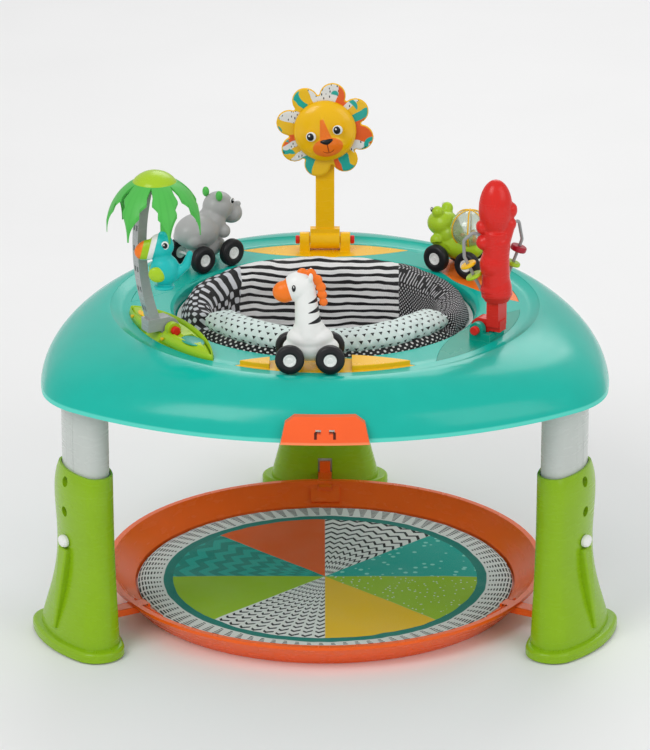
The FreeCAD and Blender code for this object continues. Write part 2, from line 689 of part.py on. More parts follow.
def palm_station():
    plate = station_plate("palm_plate", "palm")
    azimuth = STATION_AZIMUTH["palm"]
    hull_shape = Part.makeLoft([
        lens_outline(val("plate_half_length") - 1, val("plate_half_width") - 0.5, 0),
        lens_outline(96, 20, 7), lens_outline(80, 15, 11)], True, True)
    hull = feature("palm_hull", hull_shape, at_azimuth(azimuth, val("station_circle"), 0,
                                                       val("deck_height") - 0.2))
    blank = fused("palm_base_blank", [plate, hull] + ears("palm", "palm", 11.0, 20.0, 9.0))
    gap_spot = at_azimuth(azimuth, val("hinge_circle"), -10.5, val("hinge_height"))
    gap_spot.Rotation = gap_spot.Rotation.multiply(ALONG_Y)
    clearance = cylinder("palm_knuckle_gap", gap_spot, 12.9, 21.0)
    step = block("palm_block_gap", at_azimuth(azimuth, 241.0, 0, 384.5), 26, 21, 20)
    well = block("palm_well", at_azimuth(azimuth, 216.0, 52.0, 377.5), 18, 30, 20)
    tools = [pin_hole("palm_bore", "palm", 40, 4.58), clearance, step, well]
    for side in (-1, 1):
        start = side * KNOB_POCKET_MIDDLE - KNOB_POCKET_LENGTH / 2
        spot = at_azimuth(azimuth, val("hinge_circle"), start, val("hinge_height"))
        spot.Rotation = spot.Rotation.multiply(ALONG_Y)
        tools.append(cylinder(f"palm_knob_pocket_{side}", spot, dim("knob_radius") + 0.8,
                              KNOB_POCKET_LENGTH))
    node(cut("palm_base_solid", blank, tools), "palm_base")
    hinge_pin("palm_pin", "palm", 26.0, 5.5)
    palm_trunk(azimuth)
    palm_crown(azimuth)
    palm_bird()


def three_point_strip(first, second, thickness):
    """A curved bar between two three-point arcs in the upright plane of a station."""
    near = Part.Arc(*[Vector(x, 0, z) for x, z in first]).toShape()
    far = Part.Arc(*[Vector(x, 0, z) for x, z in second]).toShape()
    ends = [Part.LineSegment(Vector(first[2][0], 0, first[2][1]),
                             Vector(second[0][0], 0, second[0][1])).toShape(),
            Part.LineSegment(Vector(second[2][0], 0, second[2][1]),
                             Vector(first[0][0], 0, first[0][1])).toShape()]
    face = Part.Face(Part.Wire([near, ends[0], far, ends[1]]))
    solid = face.extrude(Vector(0, thickness, 0))
    solid.translate(Vector(0, -thickness / 2, 0))
    return solid


def palm_trunk(azimuth):
    upright = place(angle=azimuth)
    strip = three_point_strip([(233.0, 398.0), (251.5, 490.0), (240.0, 574.0)],
                              [(253.0, 574.0), (263.5, 490.0), (247.0, 398.0)], 14.0)
    centre = Vector(CROWN_CIRCLE, 0, CROWN_TOP - LEAF_RADIUS)
    upper_half = Part.makeSphere(LEAF_RADIUS + 30, centre, Vector(0, 0, 1), 0, 90)
    above_leaves = upper_half.cut(
        Part.makeSphere(LEAF_RADIUS - LEAF_THICKNESS, centre))
    bar = feature("palm_bar", strip.cut(above_leaves), upright)
    knuckle_spot = at_azimuth(azimuth, val("hinge_circle"), -9.0, val("hinge_height"))
    knuckle_spot.Rotation = knuckle_spot.Rotation.multiply(ALONG_Y)
    knuckle = cylinder("palm_knuckle", knuckle_spot, 12.3, 18.0)
    shoe = block("palm_shoe", at_azimuth(azimuth, 237.0, 0, 386.0), 30, 18, 16)
    blank = fused("palm_trunk_blank", [bar, knuckle, shoe])
    tools = [pin_hole("palm_trunk_bore", "palm", 15, 4.52)]
    rows = 6
    for row in range(rows):
        height = 412.0 + 26.0 * row
        for side in (-1, 1):
            tools.append(block(f"palm_window_{row}_{side}",
                               at_azimuth(azimuth, 250.0, side * 2.9, height), 40, 3.6, 7))
    node(cut("palm_trunk_solid", blank, tools), "palm_trunk")


def palm_crown(azimuth):
    """Drooping leaves cut from a thin dome, with a smooth cap on top."""
    centre = Vector(CROWN_CIRCLE, 0, CROWN_TOP - LEAF_RADIUS)
    shell = Part.makeSphere(LEAF_RADIUS, centre).cut(
        Part.makeSphere(LEAF_RADIUS - LEAF_THICKNESS, centre))
    leaf_count = 7
    points = []
    for leaf in range(leaf_count):
        for share, radius in LEAF_OUTLINE:
            angle = math.radians(LEAF_TURN + (leaf + share) * 360 / leaf_count)
            points.append(centre + Vector(radius * math.cos(angle), radius * math.sin(angle), 0))
    outline = Part.Face(Part.makePolygon(points + points[:1])).extrude(Vector(0, 0, 70))
    leaves = shell.common(outline)
    node(feature("palm_leaves", leaves, place(angle=azimuth)), "palm_leaves")
    dome_cap = Part.makeSphere(40, Vector(CROWN_CIRCLE, 0, CROWN_TOP + 14.5 - 40))
    dome_cap = dome_cap.common(Part.makeCylinder(25, 40, Vector(CROWN_CIRCLE, 0, CROWN_TOP - 15)))
    dome_cap = dome_cap.cut(Part.makeSphere(LEAF_RADIUS, centre))
    node(feature("palm_cap", dome_cap, place(angle=azimuth)), "palm_cap")


BIRD_X = -193.0
BIRD_Y = -153.0
STRAP_LOW = 518.0
STRAP_WIDTH = 7.5
STRAP_THICKNESS = 2.2
STRAP_EYE_HEIGHT = 551.5
STRAP_EYE_RADIUS = 4.2


def palm_bird():
    """A bird that hangs on a strap from the underside of the leaves."""
    strap = block("strap_blank", place(BIRD_X, BIRD_Y, STRAP_LOW), STRAP_WIDTH,
                  STRAP_THICKNESS, STRAP_EYE_HEIGHT - STRAP_LOW)
    eye_spot = place(BIRD_X, BIRD_Y - STRAP_THICKNESS / 2, STRAP_EYE_HEIGHT)
    eye_spot.Rotation = eye_spot.Rotation.multiply(ALONG_Y)
    eye = cylinder("strap_eye", eye_spot, STRAP_EYE_RADIUS, STRAP_THICKNESS)
    node(fused("strap_solid", [strap, eye]), "bird_strap")
    sideways = Vector(0, 1, 0)
    pieces = [
        ball("bird_head", place(BIRD_X - 3, BIRD_Y, 505.0), 14.5),
        barrel("bird_belly", place(BIRD_X + 1, BIRD_Y, 453.0), 14.5, 44.0, 11.5),
        cone("bird_beak", place(BIRD_X - 9, BIRD_Y, 502.0, sideways, -100), 9.0, 2.0, 29.0),
        cone("bird_tail", place(BIRD_X + 8, BIRD_Y, 468.0, sideways, 35), 8.0, 3.0, 30.0),
        cylinder("bird_foot", place(BIRD_X, BIRD_Y, 450.0), 12.0, 5.0),
    ]
    slot = block("bird_slot", place(BIRD_X, BIRD_Y, STRAP_LOW), STRAP_WIDTH,
                 STRAP_THICKNESS, 20.0)
    node(cut("bird_solid", fused("bird_blank", pieces), [slot]), "bird_body")


# ---------------------------------------------------------------- figure with bead wires
FIGURE_STEM = 240.0
FIGURE_PLANE = -120.0


def rounded_path(points, radius):
    """Straight runs joined by tangent arcs."""
    edges = []
    start = points[0]
    for before, corner, after in zip(points, points[1:], points[2:]):
        into = (corner - before).normalize()
        out = (after - corner).normalize()
        turn = into.getAngle(out)
        back = radius * math.tan(turn / 2)
        entry = corner - into * back
        leave = corner + out * back
        middle_way = (out - into).normalize()
        middle = corner + middle_way * (radius / math.cos(turn / 2) - radius)
        edges.append(Part.LineSegment(start, entry).toShape())
        edges.append(Part.Arc(entry, middle, leave).toShape())
        start = leave
    edges.append(Part.LineSegment(start, points[-1]).toShape())
    return Part.Wire(edges)


def bent_wire(name, points, radius):
    corners = [Vector(*point) for point in points]
    path = rounded_path(corners, radius)
    direction = corners[1] - corners[0]
    section = Part.Wire(Part.makeCircle(val("wire_radius"), corners[0], direction))
    solid = path.makePipeShell([section], True, True)
    return node(feature(name, solid), name)


WIRES = {
    "figure_wire_left": [(194.0, -120.0, 500.0), (180.0, -120.0, 511.0), (167.0, -120.0, 500.0),
                         (168.0, -120.0, 479.0), (191.0, -120.0, 433.0)],
    "figure_wire_right": [(224.0, -120.0, 521.0), (233.5, -108.0, 521.5), (238.5, -97.0, 494.0),
                          (222.0, -98.0, 448.0), (212.0, -108.0, 436.0)],
}
WIRE_BEND = 7.0
BEADS = {
    # name: (wire, corner before its straight run, share of the run, radius, half thickness)
    "bead_yellow": ("figure_wire_left", 3, 0.22, 10.0, 2.0),
    "bead_lime": ("figure_wire_left", 3, 0.52, 10.5, 2.0),
    "bead_red": ("figure_wire_right", 2, 0.25, 10.0, 3.5),
    "bead_green": ("figure_wire_right", 2, 0.66, 9.5, 2.5),
}


def bead(name):
    wire, corner, share, radius, half = BEADS[name]
    start, end = [Vector(*point) for point in WIRES[wire][corner:corner + 2]]
    direction = (end - start).normalize()
    spot = start + (end - start) * share
    bore = dim("wire_radius") + dim("running_gap")
    body = turned(name, [(bore, -half), (radius - 1.2, -half), (radius, -half + 1.2),
                         (radius, half - 1.2), (radius - 1.2, half), (bore, half)])
    rotation = FreeCAD.Rotation(Vector(0, 0, 1), direction)
    return node(body, name, FreeCAD.Placement(spot, rotation))


def figure_station():
    azimuth = STATION_AZIMUTH["figure"]
    plate = station_plate("figure_plate", "figure")
    blank = fused("figure_base_blank", [plate] + ears("figure", "figure", 9.5, 19.0, 9.0) + [
        block("figure_seat", at_azimuth(azimuth, 234.0, 0, 374.5), 14, 38, 10)])
    gap_spot = at_azimuth(azimuth, val("hinge_circle"), -9.2, val("hinge_height"))
    gap_spot.Rotation = gap_spot.Rotation.multiply(ALONG_Y)
    clearance = cylinder("figure_knuckle_gap", gap_spot, 12.9, 18.4)
    node(cut("figure_base_solid", blank, [pin_hole("figure_bore", "figure", 40, 4.58),
                                          clearance]), "figure_base")
    hinge_pin("figure_pin", "figure", 25.0, 5.5)
    wires = [bent_wire(name, points, WIRE_BEND) for name, points in WIRES.items()]
    knuckle_spot = at_azimuth(azimuth, val("hinge_circle"), -8.0, val("hinge_height"))
    knuckle_spot.Rotation = knuckle_spot.Rotation.multiply(ALONG_Y)
    pieces = [
        cylinder("figure_knuckle", knuckle_spot, 12.3, 16.0),
        block("figure_shoe", at_azimuth(azimuth, 236.0, 0, 386.0), 26, 16, 14),
        block("figure_stem", at_azimuth(azimuth, FIGURE_STEM, 0, 392.0), 16, 22, 40),
    ]
    centre = at_azimuth(azimuth, FIGURE_STEM).Base
    skirt = turned("figure_trunk", [(0, 424.0), (15.0, 424.0), (19.0, 432.0), (18.0, 442.0),
                                    (15.0, 455.0), (14.5, 480.0), (16.0, 500.0), (12.0, 512.0),
                                    (0, 512.0)])
    skirt.Placement = place(centre.x, centre.y, 0)
    head = ellipsoid("figure_head", place(centre.x - 3, centre.y, 540.0), 20, 17, 36)
    left_hand = primitive("Part::Sphere", "figure_hand_left",
                          place(centre.x - 16, FIGURE_PLANE, 500.0), Radius=9.0)
    left_cheek = primitive("Part::Sphere", "figure_cheek_left",
                           place(centre.x - 19, FIGURE_PLANE, 518.0), Radius=7.5)
    right_hand = primitive("Part::Sphere", "figure_hand_right",
                           place(centre.x + 14, FIGURE_PLANE, 520.0), Radius=8.0)
    right_cheek = primitive("Part::Sphere", "figure_cheek_right",
                            place(centre.x + 15, FIGURE_PLANE, 540.0), Radius=8.0)
    figure = fused("figure_blank", pieces + [skirt, head, left_hand, left_cheek, right_hand,
                                             right_cheek])
    sockets = [feature(wire.Name + "_socket", wire.Shape.copy()) for wire in wires]
    node(cut("figure_solid", figure, [pin_hole("figure_arm_bore", "figure", 15, 4.52)] + sockets),
         "figure_body")
    for name in BEADS:
        bead(name)


# ---------------------------------------------------------------- docks and cars
def zebra_dock():
    azimuth = STATION_AZIMUTH["zebra"]
    plate = station_plate("zebra_plate", "zebra")
    rails = []
    outline = lens(val("plate_half_length") - 6, val("plate_half_width") - 4,
                   val("deck_height") - 0.5, val("deck_height") + 6.5)
    outline.Placement = at_azimuth(azimuth, val("station_circle"))
    for name, low, high in (("left", -104.0, -66.0), ("right", 32.0, 104.0)):
        slab = Part.makeBox(60, high - low, 12, Vector(val("station_circle") - 30, low,
                                                       val("deck_height") - 2))
        slab.Placement = at_azimuth(azimuth)
        rails.append(feature(f"zebra_rail_{name}", slab.common(outline)))
    node(fused("zebra_dock_solid", [plate] + rails), "zebra_dock")


def plain_dock(name, station):
    azimuth = STATION_AZIMUTH[station]
    plate = station_plate(name + "_plate", station)
    side = -1 if station == "frog" else 1
    stop = block(name + "_stop", at_azimuth(azimuth, val("station_circle"), side * 72.0,
                                            val("deck_height") - 0.5), 12, 8, 6)
    node(fused(name + "_solid", [plate, stop]), name)


def car_placement(azimuth, circle, heading):
    """The ground point under the middle of a car, x along its heading."""
    turn = math.radians(azimuth)
    height = val("deck_height") + val("running_gap")
    return place(circle * math.cos(turn), circle * math.sin(turn), height, angle=heading)


CARS = {
    "zebra": car_placement(265.4, 222.5, 180.0),
    "hippo": car_placement(134.0, 220.0, 42.0),
    "frog": car_placement(38.0, 222.0, 143.0),
}


def on_car(car, x, y, z, turn=None):
    """A spot on a car; turn lays its z axis along the car or across it."""
    spot = CARS[car].multiply(place(x, y, z))
    if turn is not None:
        spot.Rotation = spot.Rotation.multiply(turn)
    return spot


def wheel_set(name, car, forward):
    """Two wheels pressed on one axle."""
    radius = dim("wheel_radius")
    half = val("track") / 2 + val("wheel_width") / 2
    width = val("wheel_width")
    rim = radius * 0.62
    axle = dim("axle_radius")
    body = turned(name, [
        (0, 0), (rim, 0), (radius - 2, 0), (radius, 2), (radius, width - 2),
        (radius - 2, width), (axle, width), (axle, 2 * half - width),
        (radius - 2, 2 * half - width), (radius, 2 * half - width + 2), (radius, 2 * half - 2),
        (radius - 2, 2 * half), (rim, 2 * half), (0, 2 * half)])
    return node(body, name, on_car(car, forward, -half, val("wheel_radius"), ALONG_Y))


CHASSIS_LENGTH = 64.0
CHASSIS_WIDTH = 32.0
WELL_MIDDLE = 27.2
WELL_WIDTH = 20.0


def chassis(car):
    """The lower body of a car, and the axle holes and wheel wells to cut from it."""
    base = block(f"{car}_chassis", on_car(car, 0, 0, 8.0), CHASSIS_LENGTH, CHASSIS_WIDTH, 20)
    holes = []
    for number, forward in enumerate((val("wheelbase") / 2, -val("wheelbase") / 2)):
        spot = on_car(car, forward, -40, val("wheel_radius"), ALONG_Y)
        holes.append(cylinder(f"{car}_axle_hole_{number}", spot, dim("axle_radius") + 0.3, 80.0))
        for side in (-1, 1):
            start = side * WELL_MIDDLE - WELL_WIDTH / 2
            well = on_car(car, forward, start, val("wheel_radius"), ALONG_Y)
            holes.append(cylinder(f"{car}_well_{number}_{side}", well, dim("wheel_radius") + 1.0,
                                  WELL_WIDTH))
    return base, holes


def wheels(car):
    wheel_set(f"{car}_wheels_front", car, val("wheelbase") / 2)
    wheel_set(f"{car}_wheels_rear", car, -val("wheelbase") / 2)


# A row is a name, the rear end along the car, the height of its middle line, the radius, the
# length and the rounding of the rims.
LYING_BARRELS = {
    "zebra": (("belly", -33.0, 34.0, 17.0, 66.0, 12.0), ("head", -6.0, 104.0, 15.0, 34.0, 12.0),
              ("muzzle", 22.0, 96.0, 12.0, 24.0, 10.0)),
    "hippo": (("belly", -46.0, 44.0, 24.0, 68.0, 18.0),),
    "frog": (("belly", -20.0, 36.0, 20.0, 64.0, 14.0),),
}
MANE_TUFTS = ((16.0, 119.0, 7.5), (5.0, 119.5, 7.5), (-5.0, 114.0, 7.5), (-10.0, 103.0, 7.5),
              (-12.0, 91.0, 7.5), (-12.0, 79.0, 7.0))
HIPPO_EAR_ASIDE = 12.0
CAGE_X = -10.0
CAGE_Z = 58.0
CAGE_RADIUS = 24.0
CAGE_WALL = 1.6
RATTLE_SPOTS = ((-11, 4, -12), (-2, -6, -13), (8, 4, -10), (-6, 0, -4), (-10, -6, 4))
RATTLE_RADIUS = 3.2


def lying_barrels(car):
    return [barrel(f"{car}_{name}", on_car(car, rear, 0, height, ALONG_X), radius, length,
                   rounding)
            for name, rear, height, radius, length, rounding in LYING_BARRELS[car]]


def zebra_car():
    base, holes = chassis("zebra")
    neck = barrel("zebra_neck", on_car("zebra", 4, 0, 30), 13.0, 76.0, 5.0)
    blank = fused("zebra_blank", [base, neck] + lying_barrels("zebra"))
    tufts = [cylinder(f"mane_tuft_{number}", on_car("zebra", x, -3.0, z, ALONG_Y), radius, 6.0)
             for number, (x, z, radius) in enumerate(MANE_TUFTS)]
    node(cut("zebra_solid", blank, holes), "zebra_body")
    node(cut("mane_solid", fused("mane_blank_ridge", tufts), [blank]), "zebra_mane")
    wheels("zebra")


def hippo_car():
    base, holes = chassis("hippo")
    pieces = [base, ball("hippo_head", on_car("hippo", 22, 0, 72), 20.0),
              barrel("hippo_snout", on_car("hippo", 42, -19, 58, ALONG_Y), 13.5, 38.0, 8.0)]
    pieces += [ball(f"hippo_ear_{side}", on_car("hippo", 12, side * HIPPO_EAR_ASIDE, 87), 5.5)
               for side in (-1, 1)]
    blank = fused("hippo_blank", pieces + lying_barrels("hippo"))
    node(cut("hippo_solid", blank, holes), "hippo_body")
    wheels("hippo")


def frog_car():
    """The frog carries a clear hollow ball with loose beads in it."""
    base, holes = chassis("frog")
    middle = on_car("frog", CAGE_X, 0, CAGE_Z)
    head = ball("frog_head", on_car("frog", 30, 0, 60), 20.5)
    blank = fused("frog_blank", [base, head] + lying_barrels("frog"))
    seat = ball("frog_cage_space", middle, CAGE_RADIUS + 0.2)
    node(cut("frog_solid", blank, holes + [seat]), "frog_body")
    outer = ball("frog_shell_outer", middle, CAGE_RADIUS)
    inner = ball("frog_shell_inner", middle, CAGE_RADIUS - CAGE_WALL)
    node(cut("frog_shell_solid", outer, [inner]), "frog_shell")
    beads = [Part.makeSphere(RATTLE_RADIUS, Vector(*spot)) for spot in RATTLE_SPOTS]
    node(feature("frog_beads", Part.makeCompound(beads), middle), "frog_beads")
    wheels("frog")


# ---------------------------------------------------------------- the whole object
def build_all():
    for side, azimuth in LEG_AZIMUTH.items():
        foot_sleeve(f"foot_sleeve_{side}", azimuth)
        leg_tube(f"leg_tube_{side}", azimuth)
        leg_button(f"leg_button_{side}", azimuth)
    foot_pads()
    button_springs()
    links = [dish_link(f"dish_link_{side}", azimuth) for side, azimuth in LEG_AZIMUTH.items()]
    base_dish(links)
    play_mat()
    table_tray()
    rim_clip()
    seat_fabric(seat_parts())
    lion_station()
    palm_station()
    figure_station()
    zebra_dock()
    plain_dock("frog_dock", "frog")
    plain_dock("hippo_dock", "hippo")
    zebra_car()
    hippo_car()
    frog_car()


def check_and_export():
    doc.recompute()
    for thing in doc.Objects:
        if "Invalid" in thing.State or "Error" in thing.State:
            raise RuntimeError(f"{thing.Name} failed: {thing.State}")
    for piece in NODES:
        if piece.Shape.isNull() or not piece.Shape.isValid():
            raise RuntimeError(f"{piece.Label} has no valid shape")
    os.makedirs("parts", exist_ok=True)
    for piece in NODES:
        piece.Shape.exportStep(f"parts/{piece.Label}.step")
        print(f"{piece.Label}: {len(piece.Shape.Solids)} solid(s), "
              f"{piece.Shape.Volume / 1000:.1f} cm3")
    print(len(NODES), "nodes")


build_all()
check_and_export()
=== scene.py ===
"""Shape and finish of a round activity table with toys, laid out as a Blender add-on."""
import json
import math

import bmesh
import bpy
from mathutils import Matrix, Vector, noise


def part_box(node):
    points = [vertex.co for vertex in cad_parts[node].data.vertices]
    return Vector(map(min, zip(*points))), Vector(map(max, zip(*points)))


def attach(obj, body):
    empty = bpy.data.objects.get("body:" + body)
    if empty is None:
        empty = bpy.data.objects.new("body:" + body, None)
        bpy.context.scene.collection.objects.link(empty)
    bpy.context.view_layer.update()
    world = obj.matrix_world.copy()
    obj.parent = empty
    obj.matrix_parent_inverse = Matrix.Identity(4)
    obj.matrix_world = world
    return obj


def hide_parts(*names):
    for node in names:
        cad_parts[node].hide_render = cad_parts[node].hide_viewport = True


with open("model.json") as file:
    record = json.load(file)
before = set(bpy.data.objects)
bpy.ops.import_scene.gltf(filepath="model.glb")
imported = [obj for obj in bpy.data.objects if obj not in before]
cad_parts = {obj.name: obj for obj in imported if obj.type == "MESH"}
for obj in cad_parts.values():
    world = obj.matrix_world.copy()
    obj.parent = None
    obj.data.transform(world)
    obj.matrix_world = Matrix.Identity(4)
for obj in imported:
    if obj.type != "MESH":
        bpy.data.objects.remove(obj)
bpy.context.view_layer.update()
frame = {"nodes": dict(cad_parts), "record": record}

bl_info = {
    "name": "Activity Table",
    "version": (1, 0, 0),
    "blender": (4, 5, 0),
    "location": "View3D > Sidebar > Activity Table",
    "description": "Builds the shells, toys and fabric of a round activity table",
    "category": "Object",
}

MM = 0.001
ALONG_Y = Matrix.Rotation(math.radians(-90), 4, "X")
ALONG_X = Matrix.Rotation(math.radians(90), 4, "Y")


# ------------------------------------------------------------------ sizes and colours
class FinishColours(bpy.types.PropertyGroup):
    """The colours of the moulded and sewn pieces."""


COLOURS = {
    "tray_teal": ("Tray", (0.003, 0.47, 0.375)),
    "leg_lime": ("Leg sleeves", (0.26, 0.47, 0.006)),
    "tube_grey": ("Leg tubes", (0.56, 0.60, 0.57)),
    "dish_orange": ("Floor dish", (0.93, 0.125, 0.008)),
    "cap_orange": ("Rim clip", (1.0, 0.13, 0.025)),
    "toy_yellow": ("Yellow toys", (0.93, 0.52, 0.002)),
    "toy_red": ("Red toys", (0.72, 0.018, 0.012)),
    "toy_lime": ("Lime toys", (0.40, 0.62, 0.02)),
    "toy_grey": ("Grey toys", (0.37, 0.39, 0.385)),
    "leaf_green": ("Leaves", (0.085, 0.50, 0.08)),
    "deep_teal": ("Toy bases", (0.0, 0.33, 0.24)),
    "milk_white": ("White plastic", (0.86, 0.87, 0.85)),
    "ink_black": ("Black details", (0.012, 0.012, 0.014)),
    "peg_orange": ("Orange details", (0.95, 0.19, 0.015)),
    "wire_grey": ("Bead wires", (0.33, 0.34, 0.34)),
}
for key, (label, colour) in COLOURS.items():
    FinishColours.__annotations__[key] = bpy.props.FloatVectorProperty(
        name=label, description=f"Colour of the {label.lower()}", subtype="COLOR",
        size=3, min=0.0, max=1.0, default=colour)


class SewnSizes(bpy.types.PropertyGroup):
    """Sizes of the sewn pieces."""

    seat_voxel: bpy.props.FloatProperty(
        name="Seat grain", description="Voxel size of the seat's cloth", default=4.5 * MM,
        min=3 * MM, max=8 * MM, subtype="DISTANCE", unit="LENGTH")
    seat_puff: bpy.props.FloatProperty(
        name="Seat puff", description="How far the seat's cloth may swell", default=5 * MM,
        min=0.0, max=12 * MM, subtype="DISTANCE", unit="LENGTH")
    pressure: bpy.props.FloatProperty(
        name="Pressure", description="Pressure inside the padded pieces", default=4.0,
        min=0.0, max=10.0)


def colours():
    return bpy.context.scene.table_colours


def sewn():
    return bpy.context.scene.table_sewn


# ------------------------------------------------------------------ node helpers
class Paint:
    """Builds one node material step by step."""

    def __init__(self, name):
        self.material = bpy.data.materials.new(name)
        self.material.use_nodes = True
        self.tree = self.material.node_tree
        self.shader = self.tree.nodes["Principled BSDF"]
        self.place = self.tree.nodes.new("ShaderNodeTexCoord").outputs["Object"]

    def feed(self, socket, value):
        if isinstance(value, bpy.types.NodeSocket):
            self.tree.links.new(value, socket)
        else:
            socket.default_value = value

    def math(self, operation, first, second=0.0, third=0.0):
        step = self.tree.nodes.new("ShaderNodeMath")
        step.operation = operation
        for socket, value in zip(step.inputs, (first, second, third)):
            self.feed(socket, value)
        return step.outputs[0]

    def ramp(self, value, low, high, to_low=0.0, to_high=1.0):
        step = self.tree.nodes.new("ShaderNodeMapRange")
        for socket, given in zip(step.inputs, (value, low, high, to_low, to_high)):
            self.feed(socket, given)
        return step.outputs[0]

    def mix(self, share, first, second):
        step = self.tree.nodes.new("ShaderNodeMix")
        step.data_type = "RGBA"
        self.feed(step.inputs[0], share)
        for socket, value in ((step.inputs[6], first), (step.inputs[7], second)):
            self.feed(socket, value if isinstance(value, bpy.types.NodeSocket)
                      else (*value[:3], 1.0))
        return step.outputs[2]

    def noise(self, scale, detail=2.0, stretch=None):
        step = self.tree.nodes.new("ShaderNodeTexNoise")
        step.inputs["Scale"].default_value = scale
        step.inputs["Detail"].default_value = detail
        self.feed(step.inputs["Vector"], self.moved(stretch=stretch) if stretch else self.place)
        return step.outputs["Fac"]

    def cells(self, scale, stretch=None):
        """The distance from the nearest of many scattered points."""
        step = self.tree.nodes.new("ShaderNodeTexVoronoi")
        step.inputs["Scale"].default_value = scale
        self.feed(step.inputs["Vector"], self.moved(stretch=stretch) if stretch else self.place)
        return step.outputs["Distance"]

    def moved(self, location=(0, 0, 0), rotation=(0, 0, 0), stretch=None):
        """The pattern's coordinates, stretched, or centred and turned."""
        step = self.tree.nodes.new("ShaderNodeMapping")
        step.vector_type = "POINT" if stretch else "TEXTURE"
        step.inputs["Location"].default_value = location
        step.inputs["Rotation"].default_value = rotation
        step.inputs["Scale"].default_value = stretch or (1, 1, 1)
        self.feed(step.inputs["Vector"], self.place)
        return step.outputs[0]

    def parts(self, place=None):
        step = self.tree.nodes.new("ShaderNodeSeparateXYZ")
        self.feed(step.inputs[0], place or self.place)
        return step.outputs[0], step.outputs[1], step.outputs[2]

    def shades(self, colour):
        """A colour's green and blue parts."""
        step = self.tree.nodes.new("ShaderNodeSeparateColor")
        self.feed(step.inputs[0], colour)
        return step.outputs[1], step.outputs[2]

    def joined(self, x, y, z=0.0):
        step = self.tree.nodes.new("ShaderNodeCombineXYZ")
        for socket, value in zip(step.inputs, (x, y, z)):
            self.feed(socket, value)
        return step.outputs[0]

    def polar(self, place=None):
        """Radius from the z axis, and the angle from 0 to 1."""
        x, y, height = self.parts(place)
        radius = self.math("SQRT", self.math("ADD", self.math("MULTIPLY", x, x),
                                             self.math("MULTIPLY", y, y)))
        angle = self.math("ARCTAN2", y, x)
        share = self.math("FRACT", self.math("DIVIDE", angle, 2 * math.pi))
        return radius, share, height

    def within(self, value, low, high, soft=0.0004):
        """1 where value lies between low and high."""
        rise = self.ramp(value, low - soft, low + soft)
        fall = self.ramp(value, high - soft, high + soft, 1.0, 0.0)
        return self.math("MULTIPLY", rise, fall)

    def both(self, *masks):
        result = masks[0]
        for mask in masks[1:]:
            result = self.math("MULTIPLY", result, mask)
        return result

    def bump(self, height, strength, depth, normal=None):
        step = self.tree.nodes.new("ShaderNodeBump")
        step.inputs["Strength"].default_value = strength
        step.inputs["Distance"].default_value = depth
        self.feed(step.inputs["Height"], height)
        if normal is not None:
            self.feed(step.inputs["Normal"], normal)
        return step.outputs[0]

    def finish(self, colour=None, roughness=None, normal=None, **fixed):
        for name, value in (("Base Color", colour), ("Roughness", roughness),
                            ("Normal", normal)):
            if value is not None:
                self.feed(self.shader.inputs[name],
                          (*value[:3], 1.0) if isinstance(value, tuple) else value)
        for name, value in fixed.items():
            self.shader.inputs[name.replace("_", " ")].default_value = value
        return self.material


def tinted(colour, factor):
    return tuple(min(1.0, part * factor) for part in colour[:3])


def plastic(name, colour, roughness=0.26, coat=0.06, grain=0.05, pattern=None, see=0.0):
    """Moulded plastic: soft mottling, fine grain, flow streaks and light handling marks."""
    paint = Paint(name)
    mottled = paint.mix(paint.noise(38, 3), tinted(colour, 0.95), tinted(colour, 1.04))
    if pattern is not None:
        mottled = pattern(paint, mottled)
    streaks = paint.noise(55, 4, stretch=(1.0, 0.25, 3.0))
    rough = paint.ramp(streaks, 0.3, 0.75, roughness - 0.04, roughness + 0.05)
    grained = paint.bump(paint.noise(1500, 2), grain, 0.0002)
    waved = paint.bump(paint.noise(22, 2), 0.03, 0.0008, grained)
    return paint.finish(mottled, rough, waved, Coat_Weight=coat, Coat_Roughness=0.12,
                        Specular_IOR_Level=0.3, Transmission_Weight=see)


def cloth(name, painter, sheen=0.05, weave=0.55, roughness=0.86, gloss=0.2):
    """Woven cloth: crossed threads with painted shade in the gaps between them, fuzz and slight
    fading over the painted pattern.
    """
    paint = Paint(name)
    printed = painter(paint)
    faded = paint.mix(paint.ramp(paint.noise(16, 3), 0.35, 0.8, 0.0, 0.05), printed,
                      (0.78, 0.77, 0.74))
    x, y, height = paint.parts()
    across = paint.math("SINE", paint.math("MULTIPLY", paint.math("ADD", x, height), 5200))
    along = paint.math("SINE", paint.math("MULTIPLY", paint.math("SUBTRACT", y, height), 5200))
    threads = paint.math("MULTIPLY", across, along)
    # Painted shade: where the crossed threads are low, the cloth is darkened towards near-black.
    shaded = paint.mix(paint.ramp(threads, -1, 1, 0.14, 0.0), faded, (0.05, 0.05, 0.05))
    woven = paint.bump(threads, weave, 0.0003)
    creased = paint.bump(paint.noise(70, 4), 0.35, 0.0012, woven)
    rough = paint.ramp(paint.noise(240, 2), 0.3, 0.7, roughness - 0.06, roughness + 0.06)
    return paint.finish(shaded, rough, creased, Sheen_Weight=sheen,
                        Specular_IOR_Level=gloss)


# ------------------------------------------------------------------ mesh helpers
def settle(bm, object_name, body, paints, stands_for=(), angle=35.0, recalc=True):
    """Merges, orients and smooths a mesh, and makes it a piece on a body."""
    bmesh.ops.remove_doubles(bm, verts=bm.verts, dist=1e-6)
    if recalc:
        bmesh.ops.recalc_face_normals(bm, faces=bm.faces)
    limit = math.radians(angle)
    for face in bm.faces:
        face.smooth = True
    for edge in bm.edges:
        edge.smooth = edge.calc_face_angle(0.0) < limit
    mesh = bpy.data.meshes.new(object_name)
    bm.to_mesh(mesh)
    bm.free()
    piece = bpy.data.objects.new(object_name, mesh)
    bpy.context.scene.collection.objects.link(piece)
    for paint in paints if isinstance(paints, (list, tuple)) else [paints]:
        mesh.materials.append(paint)
    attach(piece, body)
    if stands_for:
        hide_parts(*stands_for)
    return piece


